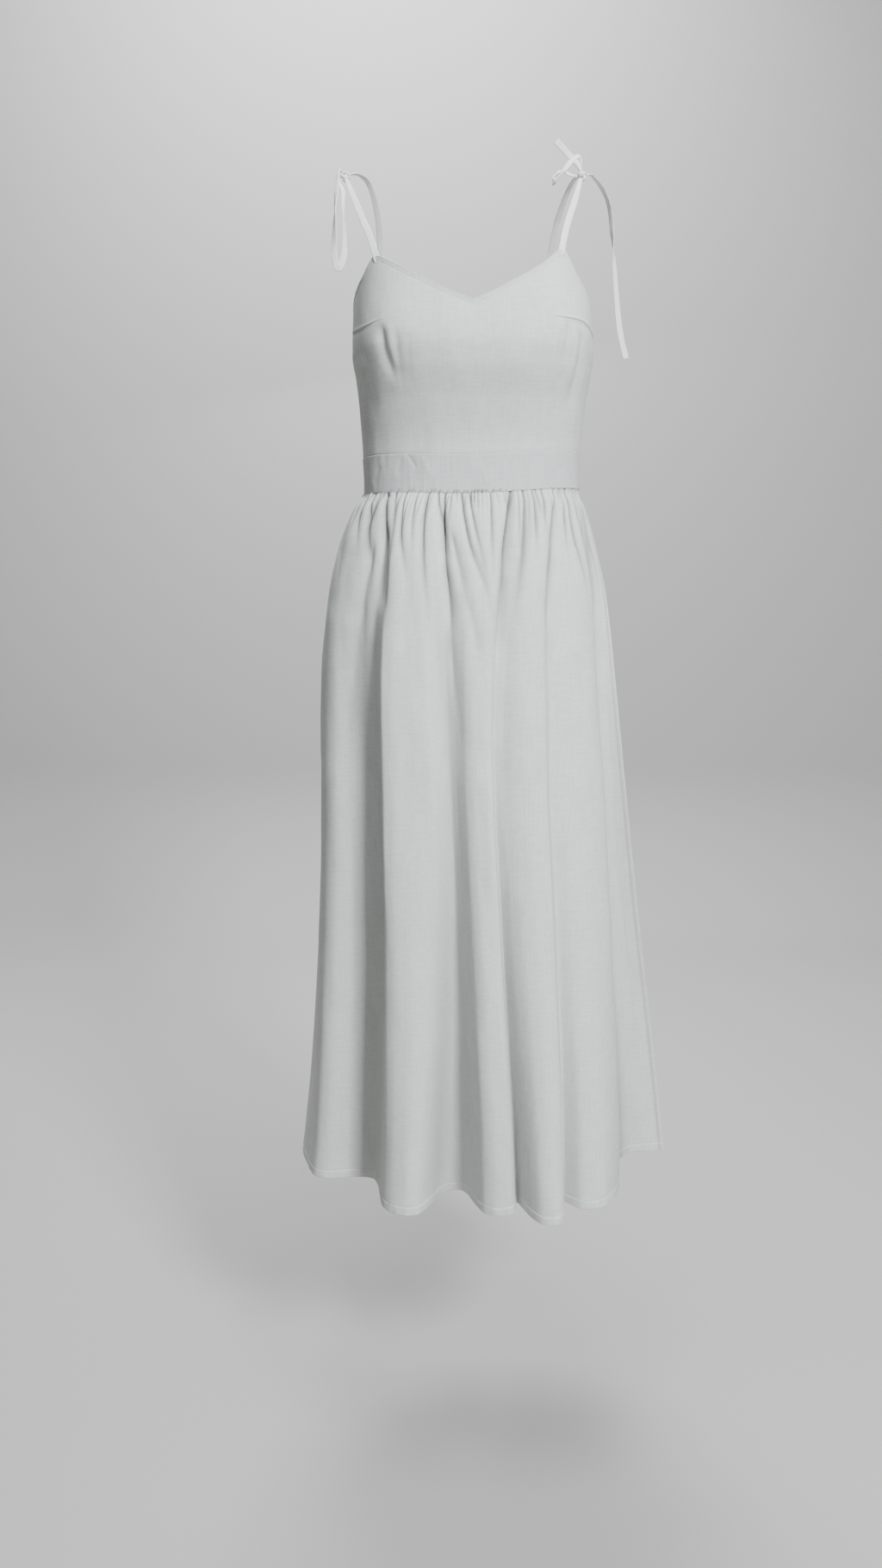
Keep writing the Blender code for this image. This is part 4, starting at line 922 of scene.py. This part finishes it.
BACK_FOLDS = [
    Fold(0.000, 180, 175, 180, 1.000, 1.000),
    Fold(0.015, 182.5, 178.8, 182.3, 0.955, 0.900),
    Fold(0.050, 187, 185, 187, 0.897, 0.770),
    Fold(0.110, 197, 198, 198, 0.866, 0.700),       # valley beside the ridge
    Fold(0.180, 210, 211, 209, 0.964, 0.920),
    Fold(0.215, 217, 217, 217, 0.969, 0.930),
    Fold(0.280, 228, 229, 228, 0.885, 0.720),
    Fold(0.340, 239, 238, 236, 0.982, 0.960),
    Fold(0.385, 246, 246, 245, 0.991, 0.980),
    Fold(0.450, 258, 256, 257, 0.867, 0.650),       # deepest valley of the back
    Fold(0.500, 267, 267, 267, 0.978, 0.950),
    Fold(0.555, 276, 278, 279, 0.996, 0.990),
    Fold(0.620, 288, 290, 290, 0.879, 0.730),
    Fold(0.680, 299, 299, 298, 0.975, 0.940),
    Fold(0.715, 306, 306, 306, 0.979, 0.950),
    Fold(0.780, 318, 318, 317, 0.870, 0.710),
    Fold(0.840, 329, 328, 327, 0.964, 0.920),
    Fold(0.885, 337, 336, 335, 0.973, 0.940),
    Fold(0.930, 346, 345, 344, 0.930, 0.830),
    Fold(0.970, 354, 354, 353, 0.996, 0.990),
    Fold(1.000, 360, 360, 360, 0.989, 0.975),
]
SKIRT_FORMS = [
    Form(36, -0.400, 31, -0.503, 0.0070, -0.0036),       # slanting crease at the left
    Form(31, -0.503, 23, -0.640, 0.0080, -0.0030),
    Form(41, -0.385, 45.5, -0.470, 0.0080, -0.0045),     # top of the first valley
    Form(72, -0.362, 77, -0.430, 0.0055, -0.0042),       # top of the second
    Form(77, -0.430, 80.5, -0.500, 0.0065, -0.0045),
    Form(80.5, -0.500, 85, -0.640, 0.0085, -0.0032),
    Form(79, -0.392, 88, -0.460, 0.0050, -0.0028),       # slanting creases over the centre crest
    Form(88, -0.460, 95, -0.530, 0.0060, -0.0024),
    Form(113.5, -0.358, 108, -0.440, 0.0055, -0.0048),   # top of the narrow valley
    Form(108, -0.440, 104, -0.530, 0.0065, -0.0045),
    Form(141, -0.355, 133, -0.413, 0.0050, -0.0038),     # top of the fourth valley
    Form(133, -0.413, 127, -0.500, 0.0060, -0.0034),
    Form(127, -0.500, 124.5, -0.660, 0.0070, -0.0026),
    Form(158, -0.380, 166, -0.500, 0.0070, -0.0044),     # beside the pressed ridge
    Form(166, -0.500, 167, -0.620, 0.0085, -0.0040),
    Form(215, -0.370, 221, -0.520, 0.008, -0.0040),
    Form(242, -0.365, 252, -0.560, 0.007, -0.0050),
    Form(268, -0.370, 262, -0.470, 0.007, -0.0035),
    Form(289, -0.365, 290, -0.600, 0.008, -0.0050),
    Form(311, -0.370, 317, -0.540, 0.008, -0.0040),
    Form(338, -0.375, 345, -0.580, 0.009, -0.0040),
]
# The larger gathers, a row for each: where across the panel it starts, is halfway and ends, how
# far down it runs, how deep it is and how wide at the seam.
Gather = namedtuple("Gather", "share halfway end run depth width")
FRONT_GATHERS = [
    Gather(0.062, 0.078, 0.100, 0.080, 0.0026, 0.0030),
    Gather(0.110, 0.128, 0.150, 0.060, 0.0022, 0.0026),
    Gather(0.141, 0.168, 0.193, 0.090, 0.0030, 0.0028),
    Gather(0.186, 0.223, 0.256, 0.125, 0.0040, 0.0030),
    Gather(0.211, 0.229, 0.243, 0.050, 0.0020, 0.0024),
    Gather(0.240, 0.268, 0.302, 0.085, 0.0030, 0.0026),
    Gather(0.284, 0.298, 0.312, 0.058, 0.0024, 0.0024),
    Gather(0.329, 0.350, 0.370, 0.115, 0.0034, 0.0036),
    Gather(0.374, 0.404, 0.432, 0.055, 0.0026, 0.0024),
    Gather(0.400, 0.425, 0.452, 0.130, 0.0044, 0.0026),
    Gather(0.460, 0.503, 0.560, 0.105, 0.0034, 0.0028),
    Gather(0.488, 0.520, 0.549, 0.075, 0.0030, 0.0026),
    Gather(0.566, 0.571, 0.575, 0.075, 0.0028, 0.0026),
    Gather(0.627, 0.612, 0.608, 0.135, 0.0046, 0.0026),
    Gather(0.668, 0.660, 0.651, 0.110, 0.0034, 0.0030),
    Gather(0.696, 0.692, 0.688, 0.060, 0.0030, 0.0022),
    Gather(0.724, 0.720, 0.714, 0.042, 0.0028, 0.0022),
    Gather(0.766, 0.734, 0.716, 0.140, 0.0046, 0.0026),
    Gather(0.795, 0.786, 0.780, 0.060, 0.0032, 0.0022),
    Gather(0.826, 0.817, 0.828, 0.090, 0.0044, 0.0026),
    Gather(0.850, 0.852, 0.856, 0.050, 0.0030, 0.0022),
    Gather(0.872, 0.882, 0.892, 0.070, 0.0030, 0.0024),
    Gather(0.930, 0.952, 0.972, 0.085, 0.0032, 0.0026),
]
BACK_GATHERS = [
    Gather(0.040, 0.032, 0.028, 0.070, 0.0026, 0.0026),
    Gather(0.086, 0.090, 0.096, 0.110, 0.0038, 0.0030),
    Gather(0.128, 0.118, 0.112, 0.045, 0.0022, 0.0024),
    Gather(0.171, 0.178, 0.190, 0.090, 0.0032, 0.0028),
    Gather(0.214, 0.232, 0.255, 0.130, 0.0042, 0.0028),
    Gather(0.262, 0.266, 0.270, 0.055, 0.0024, 0.0026),
    Gather(0.309, 0.302, 0.292, 0.100, 0.0034, 0.0032),
    Gather(0.352, 0.356, 0.362, 0.040, 0.0022, 0.0024),
    Gather(0.392, 0.408, 0.430, 0.120, 0.0042, 0.0028),
    Gather(0.440, 0.446, 0.450, 0.080, 0.0030, 0.0026),
    Gather(0.487, 0.478, 0.470, 0.060, 0.0026, 0.0026),
    Gather(0.533, 0.530, 0.522, 0.115, 0.0036, 0.0034),
    Gather(0.574, 0.584, 0.596, 0.075, 0.0028, 0.0026),
    Gather(0.618, 0.614, 0.610, 0.130, 0.0044, 0.0028),
    Gather(0.664, 0.668, 0.676, 0.050, 0.0024, 0.0024),
    Gather(0.707, 0.694, 0.680, 0.095, 0.0032, 0.0030),
    Gather(0.748, 0.756, 0.768, 0.120, 0.0040, 0.0028),
    Gather(0.800, 0.806, 0.812, 0.060, 0.0026, 0.0024),
    Gather(0.842, 0.834, 0.824, 0.105, 0.0036, 0.0030),
    Gather(0.893, 0.904, 0.918, 0.080, 0.0030, 0.0026),
    Gather(0.948, 0.954, 0.960, 0.095, 0.0030, 0.0028),
]
SMALL_GATHERS = 64           # places for the small gathers between them, on each panel
NEAREST_GATHER = 0.006       # a small one is left out this near to a large one
GATHER_FULLNESS = 1.6        # how far the gathers stand open
HELD_OUT = 0.8               # the ridges between them stand out by this share of their mean depth
PRESSED_RIDGE = 0.0010       # how much thicker the pressed seam at the right is
RIDGE_WIDTH = 0.0024
RIDGE_BEGINS = 0.10          # it is fully pressed from this far below the band
RIDGE_SHADE_LINE = (0.0055, 0.0022, 0.50)     # a line of painted shade inside it: how far in, how wide, how dark
RIDGE_VALLEY_SHADE = (0.085, 0.014, 0.45)     # painted shade in the valley beside it: how far in as a share, and the same
PUCKERS = [Swell(0.0015, 0.0024, 0.006, 0)]      # tiny, and right under the band
PUCKER_REACH = 0.006
PUCKER_SPAN = 0.35           # the length of seam that they are spaced along
HEM_RIPPLES = [Swell(0.00035, 0.006, 0.010, 4)]      # where the narrow turning pulls aslant
HEM_RIPPLE_REACH = 0.012
HEM_RIPPLE_SLANT = 0.6
HEM_STEP = 0.00025           # the dip where the hem is stitched
SWELL_BEGINS = 0.05          # broad swells are full this far below the band
# Shade painted into the skirt's colour: in the grooves between gathers, along the band's seam and in the deep
# valleys.
HOLLOW_DEPTH = 0.0020        # a groove this deep gets most of the shade that is painted into a fold
WIDE_SHADE = 0.42            # how much of it a wide groove gets
GROOVE_SHADE = (0.58, 0.50)  # and a sharp one, and how much more at the panel's far side
SEAM_SHADE = 0.9             # painted shade along the line where the skirt meets the band
VALLEY_SHADE = 0.42          # painted shade in the deep valleys between folds
VALLEY_FROM = 0.93           # the share of the outline at which their shade begins
VALLEY_FULL = 0.71           # and at which it is full
SKIRT_SWELLS = [Swell(0.0013, 0.055, 0.30, 1), Swell(0.0006, 0.024, 0.13, 2)]
FINE_SWELLS = [Swell(0.00018, 0.009, 0.070, 3)]
SOFTEN = 4                   # a fold's value is evened out over so many columns to each side
UNSOFTENED = (8, 15)         # columns at a panel's start and end that keep the table's values
skirt_cloth = woven_cloth("skirt_cloth", CLOTH_LIGHT, CLOTH_DARK, 0.00004, 0.03)


def small_gathers(large, seed):
    """Small short gathers spread unevenly between the large ones."""
    dice = np.random.default_rng(seed)
    added = []
    for k in range(SMALL_GATHERS):
        share = (k + 0.5 + dice.uniform(-0.35, 0.35)) / SMALL_GATHERS
        run = dice.uniform(0.012, 0.050)
        depth = dice.uniform(0.0010, 0.0021)
        lean = dice.uniform(-0.012, 0.012)
        if min(abs(share - gather.share) for gather in large) > NEAREST_GATHER:
            width = dice.uniform(0.0011, 0.0017)
            added.append(Gather(share, share + lean / 2, share + lean, run, depth, width))
    return added


def gather_relief(gathers, share, drop, arc):
    """How far the gathers draw the cloth in, as sharp grooves between round ridges, and the shade painted
    into their grooves.
    """
    total, shade = np.zeros(share.shape), np.zeros(share.shape)
    for gather in gathers:
        down = np.clip(drop / gather.run, 0, 1.6)
        beyond = gather.end + 0.6 * (gather.end - gather.halfway)
        path = smooth((0, 0.5, 1, 1.6), (gather.share, gather.halfway, gather.end, beyond), down)
        width = gather.width * (0.68 + 1.6 * down)
        away = np.abs(share - path) * arc / width
        pointed = np.exp(-(np.sqrt(away ** 2 + 0.02) - 0.14))
        opening = 0.65 + 0.35 * np.clip(drop / 0.005, 0, 1)
        fading = np.exp(-(down / 0.9) ** 3)
        total -= GATHER_FULLNESS * gather.depth * opening * fading * pointed
        shade += min(1.0, gather.depth / 0.0024) * opening * fading * np.exp(-(away / 0.50) ** 2)
    return total, shade


def skirt_surface(folds, gathers, first_seed):
    """The middle surface of one skirt panel, and each point's share across it, drop and painted shade."""
    share = np.linspace(0, 1, SKIRT_COLUMNS + 1)
    columns = [smooth([fold.share for fold in folds], [getattr(fold, at) for fold in folds], share)
               for at in ("waist", "middle", "hem", "middle_reach", "hem_reach")]
    soften = np.exp(-np.linspace(-2, 2, 2 * SOFTEN + 1) ** 2)
    soften /= soften.sum()
    for values in columns:
        padded = np.pad(values, SOFTEN, mode="reflect", reflect_type="odd")
        calmed = np.convolve(padded, soften, mode="valid")
        values[UNSOFTENED[0]:-UNSOFTENED[1]] = calmed[UNSOFTENED[0]:-UNSOFTENED[1]]
    turns, reaches = columns[:3], columns[3:]
    waist_points = body_point(TORSO_SECTIONS, np.radians(turns[0]), WAIST_SEAM)
    top = waist_line(WAIST_SEAM, np.radians(turns[0]), waist_points[:, 0])
    middle_share = (WAIST_SEAM - MIDDLE_HEIGHT) / (WAIST_SEAM - HEM)
    length = WAIST_SEAM - HEM
    # The rows, in millimetres below the seam: closest at the seam and in the gathers.
    opening_out = 62 + 720 * np.linspace(0, 1, 54) ** 1.5
    drops = np.r_[np.arange(0, 3, 0.7), np.arange(3, 62, 2.0), opening_out] / 1000
    drops = np.r_[drops, length - HEM_ROWS]
    grid, share_rows, drop_rows, painted_shade_rows = [], [], [], []
    for drop in drops:
        down = drop / length
        height = top + (HEM - top) * down
        below = 0 * share + drop
        turn = np.radians(smooth_stack(middle_share, turns, down))
        out = smooth_stack(middle_share ** EASE, [0 * share + 1] + reaches, down ** EASE)
        base = body_point(SKIRT_SECTIONS, turn, height, out)
        arc = np.linalg.norm(np.diff(base, axis=0), axis=1).sum()
        flat_across = (share - 0.5) * (CUT_AT_WAIST + (CUT_AT_HEM - CUT_AT_WAIST) * down)
        seams = np.clip(np.minimum(share, 1 - share) / 0.03, 0, 1)
        drawn, shade = gather_relief(gathers, share, drop, arc)
        # Painted shade: along the seam under the band, in wide and sharp grooves and in the deep valleys.
        at_seam = SEAM_SHADE * math.exp(-(drop / 0.0006) ** 2)
        wide = WIDE_SHADE * (1 - np.exp(np.minimum(drawn - drawn.mean(), 0) / HOLLOW_DEPTH))
        groove = (GROOVE_SHADE[0] + GROOVE_SHADE[1] * share) * shade
        valley = VALLEY_SHADE * np.clip((VALLEY_FROM - out) / (VALLEY_FROM - VALLEY_FULL), 0, 1)
        painted_shade_rows.append(np.clip(wide + groove + at_seam + valley, 0, 1))
        drawn -= HELD_OUT * drawn.mean()
        pucker = math.exp(-drop / PUCKER_REACH) * swells(PUCKERS, share * PUCKER_SPAN, below, first_seed)
        ease = min(1.0, drop / SWELL_BEGINS)
        swell = (ease * swells(SKIRT_SWELLS, flat_across, below, first_seed)
                 + swells(FINE_SWELLS, flat_across, below, first_seed))
        hem_step = HEM_STEP * np.exp(-((length - drop - HEM_TURNING) / 0.0006) ** 2)
        slanting = swells(HEM_RIPPLES, flat_across + HEM_RIPPLE_SLANT * drop, below, first_seed)
        hem_ripple = math.exp(-((length - drop) / HEM_RIPPLE_REACH) ** 2) * slanting
        proud = (relief(SKIRT_FORMS, turn, height) * (0.4 + 0.6 * ease)
                 + (drawn + pucker + swell + hem_ripple) * seams - hem_step)
        grid.append(body_point(SKIRT_SECTIONS, turn, height, out, proud))
        share_rows.append(share)
        drop_rows.append(below)
    # The gathered edge runs on up behind the band.
    hidden = []
    for rise, inward in HIDDEN_ROWS:
        row = grid[0].copy()
        outward = row[:, :2] - row[:, :2].mean(axis=0) * [1, 0]
        row[:, :2] -= outward / np.linalg.norm(outward, axis=1, keepdims=True) * inward
        row[:, 2] += rise
        hidden.append(row)
        share_rows.insert(len(hidden) - 1, share)
        drop_rows.insert(len(hidden) - 1, 0 * share - rise)
        painted_shade_rows.insert(0, painted_shade_rows[0])
    return np.array(hidden + grid), np.array(share_rows), np.array(drop_rows), np.array(painted_shade_rows)


def smooth_stack(middle_share, stops, down):
    """Each column's value at one share of the way down, through its values at waist, middle and hem."""
    return np.array([smooth((0, middle_share, 1), column, down) for column in zip(*stops)])


for name, replaced, folds, gathers, seed in (
        ("front_of_skirt", "skirt_front", FRONT_FOLDS, FRONT_GATHERS, 101),
        ("back_of_skirt", "skirt_back", BACK_FOLDS, BACK_GATHERS, 151)):
    middle, shares, drops, painted_shade = skirt_surface(folds, gathers + small_gathers(gathers, seed), seed)
    thickness = edge_thickness(WAIST_SEAM - HEM - drops, HEM_TURNING, turned=HEM_THICKNESS)
    down = drops / (WAIST_SEAM - HEM)
    cut_width = CUT_AT_WAIST + (CUT_AT_HEM - CUT_AT_WAIST) * down
    cut_across = (shares - 0.5) * cut_width
    from_ridge = (1 - shares if replaced == "skirt_front" else shares) * cut_width
    pressed = np.clip(drops / RIDGE_BEGINS, 0, 1)
    thickness = thickness + PRESSED_RIDGE * np.exp(-(from_ridge / RIDGE_WIDTH) ** 2) * pressed
    # Shade painted along a line inside the pressed ridge and in the valley beside it.
    for far_in, width, dark in (RIDGE_SHADE_LINE, (RIDGE_VALLEY_SHADE[0] * cut_width, *RIDGE_VALLEY_SHADE[1:])):
        painted_shade = painted_shade + pressed * dark * np.exp(-((from_ridge - far_in) / width) ** 2)
    painted_shade = np.clip(painted_shade, 0, 1)
    piece = cloth_shell(name, middle, thickness, np.stack([cut_across, -drops], axis=-1), skirt_cloth, painted_shade)
    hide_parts(replaced)
    hem_stitches = stitches(replaced + "_hem_stitches", middle, HEM_SEWING_ROW, HEM_THICKNESS)


# The floor and wall: one plain pale sheet of studio paper, curved where they meet. The lamps are
# soft: the strongest from the front, right and above, one overhead, one on the wall and a weak one
# from behind. The rest of the room gives little light, but it looks pale past the paper's edges.
FLOOR = -1.492
WALL_BEHIND = 2.60
COVE_RADIUS = 0.5
PAPER_COLOUR = (0.42, 0.42, 0.405, 1.0)
PAPER_LIGHT = (0.45, 0.45, 0.437, 1.0)
PAPER_SIDE = 4.0
COVE_STEPS = 16
profile = [(-3.5, FLOOR), (WALL_BEHIND - COVE_RADIUS, FLOOR)]
for step in range(1, COVE_STEPS):
    bend = step / COVE_STEPS * math.pi / 2
    profile.append((WALL_BEHIND - COVE_RADIUS + COVE_RADIUS * math.sin(bend),
                    FLOOR + COVE_RADIUS - COVE_RADIUS * math.cos(bend)))
profile += [(WALL_BEHIND, FLOOR + COVE_RADIUS), (WALL_BEHIND, 2.2)]
points = [(x, y, z) for x in (-PAPER_SIDE, PAPER_SIDE) for y, z in profile]
faces = [(i, i + 1, len(profile) + i + 1, len(profile) + i) for i in range(len(profile) - 1)]
paper_mesh = bpy.data.meshes.new("studio_paper")
paper_mesh.from_pydata(points, [], faces)
paper_mesh.shade_smooth()
paper = bpy.data.objects.new("studio_paper", paper_mesh)
bpy.context.scene.collection.objects.link(paper)
paper_material = bpy.data.materials.new("studio_paper")
paper_material.use_nodes = True
paper_tree = paper_material.node_tree
paper_shader = paper_tree.nodes["Principled BSDF"]
paper_shader.inputs["Roughness"].default_value = 0.9
grain = paper_tree.nodes.new("ShaderNodeTexNoise")
grain.inputs["Scale"].default_value = 3.0
paper_mix = paper_tree.nodes.new("ShaderNodeMix")
paper_mix.data_type = "RGBA"
paper_mix.inputs[6].default_value = PAPER_COLOUR
paper_mix.inputs[7].default_value = PAPER_LIGHT
link(paper_tree, grain.outputs[0], paper_mix.inputs[0])
link(paper_tree, paper_mix.outputs[2], paper_shader.inputs["Base Color"])
paper_mesh.materials.append(paper_material)

LAMP_COLOUR = (0.965, 0.985, 1.0)
ROOM_COLOUR = (1.0, 1.0, 0.955, 1.0)
ROOM_LIGHT = 0.012
FAR_WALL = 0.9               # how bright the rest of the room looks past the paper
Lamp = namedtuple("Lamp", "name place aim size power")
for lamp in (Lamp("key", (1.25, -2.47, 1.0), (0.0, 0.0, -0.55), 0.6, 150),
             Lamp("overhead", (0.0, -0.6, 1.7), (0.0, 0.0, -0.5), 1.0, 52),
             Lamp("wall", (-0.3, 1.4, 2.1), (-0.3, 2.4, -0.4), 1.4, 122),
             Lamp("behind", (-0.2, 2.2, 0.9), (0.0, 0.0, -0.6), 1.2, 30)):
    light = bpy.data.lights.new(lamp.name, "AREA")
    light.energy = lamp.power
    light.size = lamp.size
    light.color = LAMP_COLOUR
    holder = bpy.data.objects.new(lamp.name, light)
    holder.location = lamp.place
    holder.rotation_euler = (Vector(lamp.aim) - Vector(lamp.place)).to_track_quat("-Z", "Y").to_euler()
    bpy.context.scene.collection.objects.link(holder)
room = bpy.data.worlds.new("room")
room.use_nodes = True
lit = room.node_tree.nodes["Background"]
lit.inputs["Color"].default_value = ROOM_COLOUR
lit.inputs["Strength"].default_value = ROOM_LIGHT
far_wall = room.node_tree.nodes.new("ShaderNodeBackground")
far_wall.inputs["Color"].default_value = PAPER_COLOUR
far_wall.inputs["Strength"].default_value = FAR_WALL
seen = room.node_tree.nodes.new("ShaderNodeLightPath")
either = room.node_tree.nodes.new("ShaderNodeMixShader")
link(room.node_tree, seen.outputs["Is Camera Ray"], either.inputs[0])
link(room.node_tree, lit.outputs[0], either.inputs[1])
link(room.node_tree, far_wall.outputs[0], either.inputs[2])
link(room.node_tree, either.outputs[0], room.node_tree.nodes["World Output"].inputs["Surface"])
bpy.context.scene.world = room
